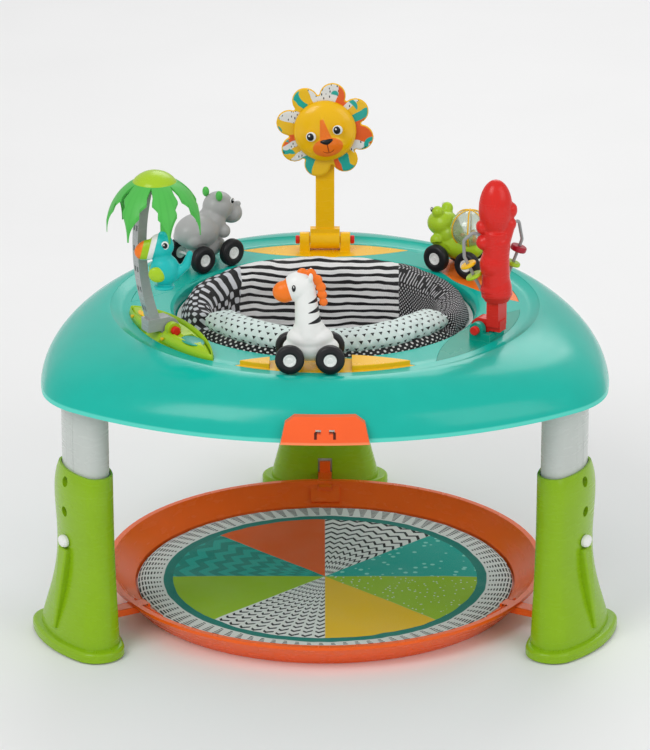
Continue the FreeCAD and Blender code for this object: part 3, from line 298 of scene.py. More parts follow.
def node_mesh(name):
    """A merged copy of a CAD node's mesh."""
    bm = bmesh.new()
    bm.from_mesh(frame["nodes"][name].data)
    bmesh.ops.remove_doubles(bm, verts=bm.verts, dist=2e-6)
    return bm


def body_of(node):
    for body, nodes in frame["record"]["behaviour"]["bodies"].items():
        if node in nodes:
            return body
    raise RuntimeError(f"no body holds {node}")


def shell_from(node, paints, bevel=0.0, angle=35.0):
    """A smooth copy of a node that stands for it, with softened edges."""
    piece = settle(node_mesh(node), f"{node}_shell", body_of(node), paints, (node,),
                   angle, recalc=False)
    if bevel:
        soften(piece, bevel)
    return piece


def soften(piece, width):
    """Rounds a shell's sharp edges a little."""
    step = piece.modifiers.new("soft_edges", "BEVEL")
    step.width = width
    step.segments = 2
    step.limit_method = "ANGLE"
    step.angle_limit = math.radians(38.0)
    step.harden_normals = False


def ball(bm, spot, radii, turn=None):
    """An ellipsoid; returns its vertices."""
    sizes = Matrix.Diagonal((*[size * MM for size in radii], 1.0))
    matrix = Matrix.Translation(Vector(spot) * MM) @ (turn or Matrix()) @ sizes
    return bmesh.ops.create_uvsphere(bm, u_segments=28, v_segments=16, radius=1.0,
                                     matrix=matrix)["verts"]


def lathe(bm, outline, place=None, steps=48):
    """Spins an outline of (radius, height) in mm around the placement's z axis."""
    verts = [bm.verts.new((radius * MM, 0, height * MM)) for radius, height in outline]
    edges = [bm.edges.new(pair) for pair in zip(verts, verts[1:])]
    made = bmesh.ops.spin(bm, geom=verts + edges, cent=(0, 0, 0), axis=(0, 0, 1),
                          angle=2 * math.pi, steps=steps, use_merge=True)
    found = {vert for item in made["geom_last"] for vert in getattr(item, "verts", [item])}
    linked = gather(found | set(verts))
    bmesh.ops.transform(bm, matrix=place or Matrix(), verts=linked)
    return linked


def gather(start):
    """Every vertex joined to the given ones."""
    seen = set(start)
    queue = list(start)
    while queue:
        vert = queue.pop()
        for edge in vert.link_edges:
            other = edge.other_vert(vert)
            if other not in seen:
                seen.add(other)
                queue.append(other)
    return list(seen)


def rod(bm, start, end, low, high=None, steps=24):
    """A straight round bar between two points in mm."""
    start, end = Vector(start) * MM, Vector(end) * MM
    line = end - start
    matrix = Matrix.Translation((start + end) / 2) @ line.to_track_quat("Z", "Y").to_matrix() \
        .to_4x4()
    return bmesh.ops.create_cone(bm, cap_ends=True, segments=steps, radius1=low * MM,
                                 radius2=(low if high is None else high) * MM,
                                 depth=line.length, matrix=matrix)["verts"]


def melted(bm, voxel, passes):
    """Runs overlapping forms together into one moulded skin."""
    mesh = bpy.data.meshes.new("blank")
    bmesh.ops.recalc_face_normals(bm, faces=bm.faces)
    bm.to_mesh(mesh)
    bm.free()
    blank = bpy.data.objects.new("blank", mesh)
    bpy.context.scene.collection.objects.link(blank)
    step = blank.modifiers.new("voxels", "REMESH")
    step.mode = "VOXEL"
    step.voxel_size = voxel * MM
    done = applied(blank)
    bpy.data.objects.remove(blank)
    result = bmesh.new()
    result.from_mesh(done)
    bpy.data.meshes.remove(done)
    for _ in range(passes):
        bmesh.ops.smooth_vert(result, verts=result.verts, factor=0.5, use_axis_x=True,
                              use_axis_y=True, use_axis_z=True)
    return result


def applied(piece):
    """The mesh of a piece with its modifiers applied."""
    view = bpy.context.evaluated_depsgraph_get()
    return bpy.data.meshes.new_from_object(piece.evaluated_get(view))


def around(azimuth, radius=0.0, height=0.0):
    """A frame at an azimuth: x outwards, y along the ring, z up."""
    return Matrix.Rotation(math.radians(azimuth), 4, "Z") @ Matrix.Translation(
        Vector((radius, 0, height)) * MM)


# ------------------------------------------------------------------ finishes
PAINT = {}
WHITE = (0.82, 0.82, 0.80)
BLACK = (0.008, 0.008, 0.010)
TEAL = (0.008, 0.42, 0.35)
ORANGE = (0.86, 0.12, 0.008)
YELLOW = (0.92, 0.55, 0.01)
LIME = (0.34, 0.56, 0.012)


def lip_painted_highlight(paint, base):
    """Painted highlight: the moulded bead along the tray's lip is drawn paler, as where light
    catches it.
    """
    height = paint.parts()[2]
    # Painted highlight: a band at the lip bead's height is mixed towards a paler teal.
    return paint.mix(paint.within(height, 0.300, 0.3215, 0.0008), base, (0.10, 0.68, 0.56))


def clip_painted_light(paint, base):
    """A painted highlight along the bead at the clip's foot, and painted shade in the finger
    slot's dark ends.
    """
    x, _, height = paint.parts()
    # Painted highlight: the foot bead is mixed towards a paler orange.
    bead_highlight = paint.mix(paint.within(height, 0.300, 0.3205, 0.0006), base, (1.0, 0.26, 0.10))
    # Painted shade: the two ends of the finger slot are painted a dark brown-orange.
    slot_shade = paint.both(paint.within(paint.math("ABSOLUTE", x), 0.0095, 0.0128, 0.0003),
                      paint.within(height, 0.3245, 0.3328, 0.0003))
    return paint.mix(slot_shade, bead_highlight, (0.10, 0.012, 0.004))


def leaf_veined(paint, base):
    """Darker veins that run out from the crown's middle."""
    place = paint.moved(location=PALM_CROWN)
    radius, share, _ = paint.polar(place)
    wave = paint.math("SINE", paint.math("MULTIPLY", share, 2 * math.pi * 35))
    out = paint.ramp(radius, 0.02, 0.06)
    return paint.mix(paint.math("MULTIPLY", paint.ramp(wave, 0.2, 1.0, 0.0, 0.22), out), base,
                     (0.03, 0.33, 0.04))


def chevrons(paint, across, along, count):
    """Zigzag rows: along moves in and out with the fold of across."""
    fold = paint.math("ABSOLUTE", paint.math("SUBTRACT", paint.math("FRACT", across), 0.5))
    return paint.math("FRACT", paint.math("ADD", paint.math("MULTIPLY", along, count), fold))


def mat_print(paint):
    """Eight printed sectors, a dark ring and a white border with dashes."""
    wobble = paint.math("MULTIPLY", paint.math("SUBTRACT", paint.noise(30, 1), 0.5), 0.004)
    radius, share, _ = paint.polar()
    radius = paint.math("ADD", radius, wobble)
    plain = [TEAL, WHITE, ORANGE, TEAL, LIME, WHITE, YELLOW, LIME]

    def sector(number):
        return paint.within(share, number / 8, (number + 1) / 8, 0.0006)

    print_colour = WHITE
    for number, tone in enumerate(plain):
        print_colour = paint.mix(sector(number), print_colour, tone)
    eighth = paint.math("MULTIPLY", share, 8.0)
    zigzag = paint.ramp(chevrons(paint, paint.math("MULTIPLY", eighth, 7), radius, 62),
                        0.30, 0.33, 1.0, 0.0)
    print_colour = paint.mix(paint.both(sector(1), zigzag), print_colour, BLACK)
    bands = paint.ramp(chevrons(paint, paint.math("MULTIPLY", eighth, 4), radius, 40),
                       0.48, 0.52)
    print_colour = paint.mix(paint.both(sector(3), bands), print_colour, (0.0, 0.27, 0.22))
    arches = paint.ramp(chevrons(paint, paint.math("MULTIPLY", eighth, 9), radius, 85),
                        0.34, 0.38, 1.0, 0.0)
    gaps = paint.ramp(paint.math("FRACT", paint.math("MULTIPLY", eighth, 9)), 0.2, 0.24)
    print_colour = paint.mix(paint.both(sector(5), arches, gaps), print_colour, BLACK)
    specks = paint.ramp(paint.cells(150), 0.16, 0.2, 1.0, 0.0)
    print_colour = paint.mix(paint.both(sector(7), specks), print_colour, WHITE)
    weave = paint.ramp(paint.cells(75), 0.2, 0.24, 1.0, 0.0)
    print_colour = paint.mix(paint.both(sector(0), weave), print_colour, (0.25, 0.70, 0.62))
    border = paint.ramp(radius, 0.193, 0.1935)
    print_colour = paint.mix(border, print_colour, (0.0, 0.22, 0.18))
    print_colour = paint.mix(paint.ramp(radius, 0.205, 0.2055), print_colour, WHITE)
    row = paint.math("FRACT", paint.math("MULTIPLY", radius, 260.0))
    dash = paint.math("FRACT", paint.math("MULTIPLY", share, 90.0))
    dense = paint.ramp(radius, 0.207, 0.236, 0.25, 0.8)
    dashes = paint.both(paint.within(row, 0.25, 0.75, 0.05), paint.math("LESS_THAN", dash, dense),
                        paint.ramp(radius, 0.208, 0.2085))
    return paint.mix(dashes, print_colour, BLACK)


def seat_print(paint):
    """Stripes across the back, pebbles on the left and fine dots on the right."""
    x, y, height = paint.parts()
    radius, share, _ = paint.polar()
    drift = paint.math("MULTIPLY", paint.math("SUBTRACT", paint.noise(18, 2), 0.5), 0.012)
    level = paint.math("ADD", paint.math("ADD", paint.math("MULTIPLY", height, 0.94),
                                         paint.math("MULTIPLY", y, 0.34)), drift)
    stripe = paint.math("FRACT", paint.math("MULTIPLY", level, 110.0))
    bold = paint.ramp(paint.noise(25, 2), 0.35, 0.7, 0.38, 0.54)
    dark = paint.ramp(paint.math("SUBTRACT", stripe, bold), -0.03, 0.03, 1.0, 0.0)
    printed = paint.mix(dark, (0.95, 0.95, 0.95), BLACK)
    slope = paint.math("ADD", paint.math("SUBTRACT", height, radius), drift)
    lean = paint.math("ADD", share, paint.math("MULTIPLY", drift, 0.9))
    pebbles = spots(paint, lean, 46, slope, 0.0150, 0.10, (0.72, 0.74, 0.78))
    left = paint.ramp(paint.math("ADD", x, drift), -0.107, -0.106, 1.0, 0.0)
    printed = paint.mix(left, printed, pebbles)
    dots = spots(paint, share, 168, slope, 0.0050, 0.34, (0.62, 0.62, 0.64))
    right = paint.ramp(x, 0.093, 0.094)
    printed = paint.mix(right, printed, dots)
    trim = spots(paint, share, 120, height, 0.0050, 0.42, WHITE)
    front = paint.both(paint.ramp(y, -0.085, -0.087), paint.ramp(radius, 0.158, 0.1585))
    return paint.mix(front, printed, trim)


def spots(paint, share, count, level, pitch, least, tone):
    """Staggered rounded spots of one tone on black cloth."""
    across = paint.math("SINE", paint.math("MULTIPLY", share, 2 * math.pi * count))
    up = paint.math("SINE", paint.math("MULTIPLY", level, 2 * math.pi / pitch))
    peak = paint.math("MULTIPLY", across, up)
    return paint.mix(paint.ramp(peak, least, least + 0.10), BLACK, tone)


def bolster_print(paint):
    """Rows of small black triangles that follow the roll."""
    radius, share, height = paint.polar()
    along = paint.math("MULTIPLY", share, 2 * math.pi * 153 / 10)
    turn = paint.math("ARCTAN2", paint.math("SUBTRACT", height, ROLL_HEIGHT),
                      paint.math("SUBTRACT", radius, 0.153))
    round_it = paint.math("MULTIPLY", turn, -2.1)
    row = paint.math("FLOOR", round_it)
    along = paint.math("ADD", along, paint.math("MULTIPLY", row, 0.5))
    side = paint.math("ABSOLUTE", paint.math("SUBTRACT", paint.math("FRACT", along), 0.5))
    down = paint.math("FRACT", round_it)
    narrowing = paint.math("MULTIPLY", paint.math("SUBTRACT", 0.80, down), 0.48)
    shape = paint.both(paint.math("LESS_THAN", side, narrowing),
                       paint.math("GREATER_THAN", down, 0.30))
    return paint.mix(shape, (0.80, 0.92, 0.89), BLACK)


def petal_print(paint):
    """Patches of colour around the lion's mane, some of them dashed."""
    place = paint.moved(location=LION_MIDDLE)
    x, _, height = paint.parts(place)
    radius, share, _ = paint.polar(paint.joined(x, height))
    tones = [(0, ORANGE), (14, TEAL), (27, YELLOW), (40, WHITE), (50, ORANGE), (71, WHITE),
             (112, YELLOW), (124, TEAL), (136, YELLOW), (146, WHITE), (163, YELLOW),
             (188, ORANGE), (200, WHITE), (212, YELLOW), (222, WHITE), (230, TEAL),
             (252, YELLOW), (286, ORANGE), (296, TEAL), (312, YELLOW), (322, WHITE),
             (343, ORANGE)]
    swirl = paint.math("MULTIPLY", paint.math("SUBTRACT", paint.noise(45, 1), 0.5), 0.05)
    share = paint.math("FRACT", paint.math("ADD", share, swirl))
    ramp = paint.tree.nodes.new("ShaderNodeValToRGB")
    ramp.color_ramp.interpolation = "CONSTANT"
    for number, (angle, tone) in enumerate(tones):
        stop = (ramp.color_ramp.elements[number] if number < 2
                else ramp.color_ramp.elements.new(angle / 360))
        stop.position = angle / 360
        stop.color = (*tone, 1.0)
    paint.feed(ramp.inputs[0], share)
    rings = paint.within(paint.cells(38), 0.22, 0.42, 0.01)
    patches = paint.mix(paint.both(rings, paint.ramp(radius, 0.048, 0.049)),
                        ramp.outputs["Color"], TEAL)
    bright = paint.ramp(paint.math("ADD", *paint.shades(ramp.outputs["Color"])), 1.45, 1.5)
    dashes = paint.ramp(paint.cells(330, stretch=(1.0, 1.0, 0.45)), 0.22, 0.28, 1.0, 0.0)
    return paint.mix(paint.both(bright, dashes), patches, BLACK)


def face_print(paint, base):
    """An orange muzzle and nose bridge with a fine mouth line."""
    place = paint.moved(location=LION_MIDDLE, rotation=(0, HEAD_LEAN, 0))
    x, _, height = paint.parts(place)
    muzzle = oval_mask(paint, x, height, 0.0, -18.5, 19.5, 13.2)
    sideways = paint.math("ABSOLUTE", paint.math("ADD", x, 0.0005))
    width = paint.ramp(height, -0.010, 0.019, 0.0085, 0.0022)
    bridge = paint.both(paint.ramp(paint.math("SUBTRACT", width, sideways), -0.0003, 0.0003),
                        paint.within(height, -0.016, 0.019, 0.0008))
    marked = paint.mix(paint.math("MAXIMUM", muzzle, bridge), base, (0.93, 0.20, 0.012))
    line = paint.both(paint.within(x, -0.0007, 0.0007, 0.0003),
                      paint.within(height, -0.0245, -0.012, 0.0004))
    smile = paint.both(paint.math("SUBTRACT", oval_mask(paint, x, height, 0.0, -20.0, 8.0, 6.0),
                                  oval_mask(paint, x, height, 0.0, -19.0, 8.0, 6.0)),
                       paint.ramp(height, -0.0215, -0.0225))
    return paint.mix(paint.ramp(paint.math("MAXIMUM", line, smile), 0.2, 0.8), marked,
                     (0.30, 0.035, 0.005))


def oval_mask(paint, x, height, middle_x, middle_z, half_x, half_z):
    across = paint.math("DIVIDE", paint.math("SUBTRACT", x, middle_x * MM), half_x * MM)
    up = paint.math("DIVIDE", paint.math("SUBTRACT", height, middle_z * MM), half_z * MM)
    reach = paint.math("ADD", paint.math("MULTIPLY", across, across),
                       paint.math("MULTIPLY", up, up))
    return paint.ramp(reach, 0.95, 1.05, 1.0, 0.0)


def bird_print(paint, base):
    """White, lime and orange bands across the beak."""
    x, _, height = paint.parts(paint.moved(location=BIRD_MIDDLE))
    slope = paint.math("SUBTRACT", x, paint.math("MULTIPLY", height, 0.25))
    upper = paint.ramp(height, -0.0165, -0.0155)
    for edge, tone in ((-0.0100, WHITE), (-0.0165, LIME), (-0.0250, (0.93, 0.20, 0.012))):
        band = paint.both(paint.ramp(slope, edge + 0.0003, edge - 0.0003), upper)
        base = paint.mix(band, base, tone)
    return base


def zebra_print(paint, base):
    """An orange muzzle and three tapering stripes on the back of the neck."""
    x, _, height = paint.parts(paint.moved(location=car_spot("zebra"), rotation=(0, 0, math.pi)))
    snout = paint.math("ADD", x, paint.math("MULTIPLY", height, -0.30))
    base = paint.mix(paint.both(paint.ramp(snout, -0.0052, -0.0046),
                                paint.ramp(height, 0.075, 0.0755)), base,
                     (0.93, 0.20, 0.012))
    for level in (0.0845, 0.0725, 0.0595):
        bent = paint.math("ADD", height, paint.math("MULTIPLY", x, 0.22))
        width = paint.ramp(x, -0.014, 0.002, 0.0040, 0.0004)
        gap = paint.math("ABSOLUTE", paint.math("SUBTRACT", bent, level))
        stripe = paint.both(paint.ramp(paint.math("SUBTRACT", width, gap), -0.0002, 0.0002),
                            paint.ramp(x, 0.002, 0.0015))
        base = paint.mix(stripe, base, BLACK)
    return base


SWELL_FRAMES = 20
ROLL_RADIUS = 151.0
ROLL_MIDDLE = 381.5
ROLL_HALF_WIDTH = 24.5
ROLL_HALF_HEIGHT = 15.0
ROLL_PUFF = 4 * MM
RIM_START = 0.150
RIM_BASE = 0.3602
RIM_GROWTH = 1.22
LEAF_STRETCH = 1.14
HEAD_LEAN = math.radians(-12)
WHEEL_CENTRE = 17.5
HALF_BASE = 24.0
WHEEL_STARTS = (-30.0, 18.0)
PALM_CROWN = (-0.2044, -0.118, 0.5725)
LION_MIDDLE = (0.0, 0.2, 0.538)
BIRD_MIDDLE = (-0.193, -0.153, 0.504)
ROLL_HEIGHT = 0.3814
CARS = {"zebra": (265.4, 222.5, 180.0), "hippo": (134.0, 220.0, 42.0),
        "frog": (38.0, 222.0, 143.0)}
CAR_GROUND = 375.3


def car_spot(name):
    azimuth, radius, _ = CARS[name]
    turn = math.radians(azimuth)
    return (radius * math.cos(turn) * MM, radius * math.sin(turn) * MM, CAR_GROUND * MM)


def car_frame(name):
    """x forwards, y to its left, z up from the ground under its middle."""
    return Matrix.Translation(car_spot(name)) @ Matrix.Rotation(
        math.radians(CARS[name][2]), 4, "Z")


def make_paints():
    tone = {key: tuple(getattr(colours(), key)) for key in COLOURS}
    for key, value in tone.items():
        PAINT[key] = plastic(key, value)
    # The tray's shell carries a painted highlight along its lip bead.
    PAINT["tray_teal"] = plastic("tray_shell", tone["tray_teal"], 0.22, 0.1,
                                 pattern=lip_painted_highlight)
    PAINT["teal_plain"] = plastic("teal_plain", tone["tray_teal"], 0.24)
    # The clip's shell carries a painted highlight on its foot bead and painted shade at its slot's
    # ends.
    PAINT["cap_orange"] = plastic("clip_shell", tone["cap_orange"], 0.22, 0.1,
                                  pattern=clip_painted_light)
    PAINT["leaf_green"] = plastic("leaf_skin", tone["leaf_green"], 0.42, 0.05,
                                  pattern=leaf_veined)
    PAINT["mat"] = cloth("mat_cloth", mat_print)
    PAINT["seat"] = cloth("seat_cloth", seat_print)
    PAINT["bolster"] = cloth("bolster_cloth", bolster_print)
    PAINT["petals"] = cloth("petal_film", petal_print, sheen=0.0, weave=0.05, roughness=0.35)
    PAINT["face"] = plastic("face_skin", tone["toy_yellow"], 0.22, 0.2, pattern=face_print)
    PAINT["bird"] = plastic("bird_skin", (0.012, 0.50, 0.48), 0.34, pattern=bird_print)
    PAINT["zebra"] = plastic("zebra_skin", tone["milk_white"], 0.34, pattern=zebra_print)
    PAINT["tyre"] = plastic("tyre_black", tone["ink_black"], 0.42, 0.1, grain=0.12)
    PAINT["steel"] = plastic("spring_steel", (0.55, 0.55, 0.56), 0.25)
    PAINT["steel"].node_tree.nodes["Principled BSDF"].inputs["Metallic"].default_value = 1.0
    PAINT["rubber"] = plastic("foot_rubber", (0.14, 0.145, 0.15), 0.6, 0.0, grain=0.2)
    PAINT["clear"] = plastic("rattle_clear", (0.88, 0.93, 0.86), 0.1, 0.3, see=0.85)
    PAINT["hippo"] = plastic("hippo_skin", (0.40, 0.405, 0.395), 0.38, 0.15)
    PAINT["bead_crimson"] = plastic("bead_crimson", (0.42, 0.01, 0.03), 0.3)
    PAINT["wire"] = plastic("wire_coat", tone["wire_grey"], 0.34)


# ------------------------------------------------------------------ operators
class PieceOperator:
    """The options that the operators share."""

    bl_options = {"REGISTER", "UNDO"}


class TABLE_OT_stage(PieceOperator, bpy.types.Operator):
    """Floor, soft studio light and camera"""

    bl_idname = "table.stage"
    bl_label = "Stage"

    def execute(self, context):
        bm = bmesh.new()
        bmesh.ops.create_grid(bm, x_segments=1, y_segments=1, size=30.0)
        mesh = bpy.data.meshes.new("floor")
        bm.to_mesh(mesh)
        bm.free()
        floor = bpy.data.objects.new("floor", mesh)
        bpy.context.scene.collection.objects.link(floor)
        paint = Paint("floor_paper")
        mesh.materials.append(paint.finish(paint.mix(paint.noise(3, 2), (0.86, 0.86, 0.86),
                                                     (0.90, 0.90, 0.90)), 0.7))
        bpy.context.scene.view_settings.view_transform = "Standard"
        world = bpy.data.worlds.new("studio")
        bpy.context.scene.world = world
        world.use_nodes = True
        back = world.node_tree.nodes["Background"]
        back.inputs["Color"].default_value = (1.0, 1.0, 1.0, 1.0)
        back.inputs["Strength"].default_value = 0.62
        for name, spot, size, power in (("key", (-2.2, -2.6, 3.4), 2.2, 62.0),
                                        ("fill", (2.8, -2.2, 2.2), 2.4, 26.0),
                                        ("rim", (0.6, 3.0, 3.0), 2.4, 40.0)):
            light = bpy.data.lights.new(name, "AREA")
            light.size = size
            light.energy = power
            lamp = bpy.data.objects.new(name, light)
            lamp.location = spot
            lamp.rotation_euler = (Vector((0, 0, 0.3)) - Vector(spot)).to_track_quat(
                "-Z", "Y").to_euler()
            bpy.context.scene.collection.objects.link(lamp)
        camera = bpy.data.cameras.new("camera")
        camera.lens = 199.8
        camera.sensor_width = 36
        eye = bpy.data.objects.new("camera", camera)
        eye.location = (0, -4.8813, 2.0756)
        eye.rotation_euler = (math.radians(69.836), 0, 0)
        bpy.context.scene.collection.objects.link(eye)
        bpy.context.scene.camera = eye
        return {"FINISHED"}


LEGS = ("back", "left", "right")


class TABLE_OT_legs(PieceOperator, bpy.types.Operator):
    """Foot sleeves, tubes, snap buttons and floor pads"""

    bl_idname = "table.legs"
    bl_label = "Legs"

    def execute(self, context):
        for name, azimuth in zip(LEGS, (90, 210, 330)):
            shell_from(f"foot_sleeve_{name}", PAINT["leg_lime"], 1.2 * MM)
            shell_from(f"leg_tube_{name}", PAINT["tube_grey"], 0.6 * MM)
            self.button(name, azimuth)
        shell_from("foot_pads", PAINT["rubber"], 0.4 * MM)
        shell_from("button_springs", PAINT["steel"])
        return {"FINISHED"}

    def button(self, name, azimuth):
        """An oval button with a faceted crown."""
        bm = bmesh.new()
        lathe(bm, [(0, 0), (6.4, 0), (6.4, 5.5), (8.6, 6.2), (8.9, 9.5), (7.4, 12.2),
                   (4.4, 13.6), (0, 13.9)],
              around(azimuth, 359.6, 135) @ ALONG_X @ Matrix.Diagonal((0.86, 1.1, 1, 1)), 14)
        settle(bm, f"button_{name}_cap", f"button_{name}", PAINT["milk_white"],
               (f"leg_button_{name}",), 20)


class TABLE_OT_floor_dish(PieceOperator, bpy.types.Operator):
    """Orange floor dish and its links to the legs"""

    bl_idname = "table.floor_dish"
    bl_label = "Floor dish"

    def execute(self, context):
        shell_from("base_dish", PAINT["dish_orange"], 0.8 * MM)
        for name in LEGS:
            shell_from(f"dish_link_{name}", PAINT["dish_orange"], 1.0 * MM)
        return {"FINISHED"}


class TABLE_OT_play_mat(PieceOperator, bpy.types.Operator):
    """Printed round mat with a bound edge"""

    bl_idname = "table.play_mat"
    bl_label = "Play mat"

    def execute(self, context):
        bm = bmesh.new()
        top = [(0, 10.4), (60, 10.6), (120, 10.7), (180, 10.4), (192, 10.0), (199, 9.2),
               (206, 10.0), (222, 10.3), (232, 10.2), (236, 9.0), (238, 7.6), (236, 5.6),
               (230, 4.6), (120, 4.5), (0, 4.5)]
        lathe(bm, top, steps=144)
        bmesh.ops.subdivide_edges(bm, edges=bm.edges, cuts=1, use_grid_fill=True)
        mat = settle(bm, "mat_pad", "floor_mat", PAINT["mat"], ("play_mat",), 60)
        ruffle(mat, 0.7 * MM, 34, True)
        return {"FINISHED"}


def ruffle(piece, depth, scale, upwards=False):
    """Moves the points of a soft piece a little in and out, for slack cloth."""
    for vert in piece.data.vertices:
        push = noise.fractal(vert.co * scale, 0.8, 2.0, 3) * depth
        vert.co += (Vector((0, 0, 1)) if upwards else vert.normal) * push
    piece.data.update()


class TABLE_OT_tray(PieceOperator, bpy.types.Operator):
    """Tray, rim clip and the toys' bases"""

    bl_idname = "table.tray"
    bl_label = "Tray"

    def execute(self, context):
        shell_from("table_tray", PAINT["tray_teal"], 0.7 * MM, 25)
        shell_from("rim_clip", PAINT["cap_orange"], 0.8 * MM)
        shell_from("lion_base", PAINT["toy_yellow"], 0.8 * MM)
        shell_from("palm_base", PAINT["toy_lime"], 1.0 * MM)
        shell_from("figure_base", PAINT["deep_teal"], 0.8 * MM)
        shell_from("zebra_dock", PAINT["toy_yellow"], 0.8 * MM)
        shell_from("frog_dock", PAINT["peg_orange"], 0.8 * MM)
        shell_from("hippo_dock", PAINT["teal_plain"], 0.8 * MM)
        return {"FINISHED"}


class TABLE_OT_seat(PieceOperator, bpy.types.Operator):
    """Turning ring with the cloth sling and the padded front roll"""

    bl_idname = "table.seat"
    bl_label = "Seat"

    def execute(self, context):
        for node in ("seat_ring", "seat_retainer"):
            shell_from(node, PAINT["milk_white"], 0.4 * MM)
        shell_from("seat_screws", PAINT["steel"])
        bm = node_mesh("seat_fabric")
        for vert in bm.verts:
            radius = math.hypot(vert.co.x, vert.co.y)
            if radius > RIM_START and vert.co.z > RIM_BASE:
                grow = (RIM_START + (radius - RIM_START) * RIM_GROWTH) / radius
                vert.co.x *= grow
                vert.co.y *= grow
        sling = settle(bm, "seat_sling", "seat", PAINT["seat"],
                       ("seat_fabric",), 180, recalc=False)
        self.stuff(sling, sewn().seat_puff)
        bm = bmesh.new()
        outline = [(ROLL_RADIUS + ROLL_HALF_WIDTH * math.cos(turn),
                    ROLL_MIDDLE + ROLL_HALF_HEIGHT * math.sin(turn))
                   for turn in [math.radians(15 * number) for number in range(24)]]
        verts = [bm.verts.new((radius * MM, 0, height * MM)) for radius, height in outline]
        face = bm.faces.new(verts)
        bmesh.ops.rotate(bm, verts=verts, matrix=Matrix.Rotation(math.radians(209), 3, "Z"))
        bmesh.ops.spin(bm, geom=[face], cent=(0, 0, 0), axis=(0, 0, 1),
                       angle=math.radians(125), steps=48, use_duplicate=True)
        roll = settle(bm, "seat_front_roll", "seat", PAINT["bolster"],
                      ("seat_bolster",), 180)
        self.stuff(roll, ROLL_PUFF)
        return {"FINISHED"}

    def stuff(self, piece, cap):
        """Remeshes a piece, blows it up a little with cloth and caps the movement."""
        step = piece.modifiers.new("voxels", "REMESH")
        step.mode = "VOXEL"
        step.voxel_size = sewn().seat_voxel
        swap_mesh(piece)
        for face in piece.data.polygons:
            face.use_smooth = True
        start = [vert.co.copy() for vert in piece.data.vertices]
        step = piece.modifiers.new("cloth", "CLOTH")
        step.settings.use_pressure = True
        step.settings.uniform_pressure_force = sewn().pressure
        step.settings.effector_weights.gravity = 0.0
        step.settings.quality = 4
        step.settings.tension_stiffness = 8
        step.collision_settings.use_collision = False
        step.point_cache.frame_start = 1
        step.point_cache.frame_end = SWELL_FRAMES
        for number in range(1, SWELL_FRAMES + 1):
            bpy.context.scene.frame_set(number)
        swap_mesh(piece)
        bpy.context.scene.frame_set(1)
        for vert, spot in zip(piece.data.vertices, start):
            shift = vert.co - spot
            if shift.length > cap:
                vert.co = spot + shift.normalized() * cap
        ruffle(piece, 1.3 * MM, 42)
        step = piece.modifiers.new("smoother", "SUBSURF")
        step.levels = step.render_levels = 1


def swap_mesh(piece):
    """Applies every modifier of a piece to its mesh."""
    done = applied(piece)
    old = piece.data
    piece.modifiers.clear()
    piece.data = done
    bpy.data.meshes.remove(old)


def lion_place():
    """The lion's head: x to its left, y out of its face and z up, tilted a little."""
    return Matrix.Translation(LION_MIDDLE) @ Matrix.Rotation(HEAD_LEAN, 4, "Y")


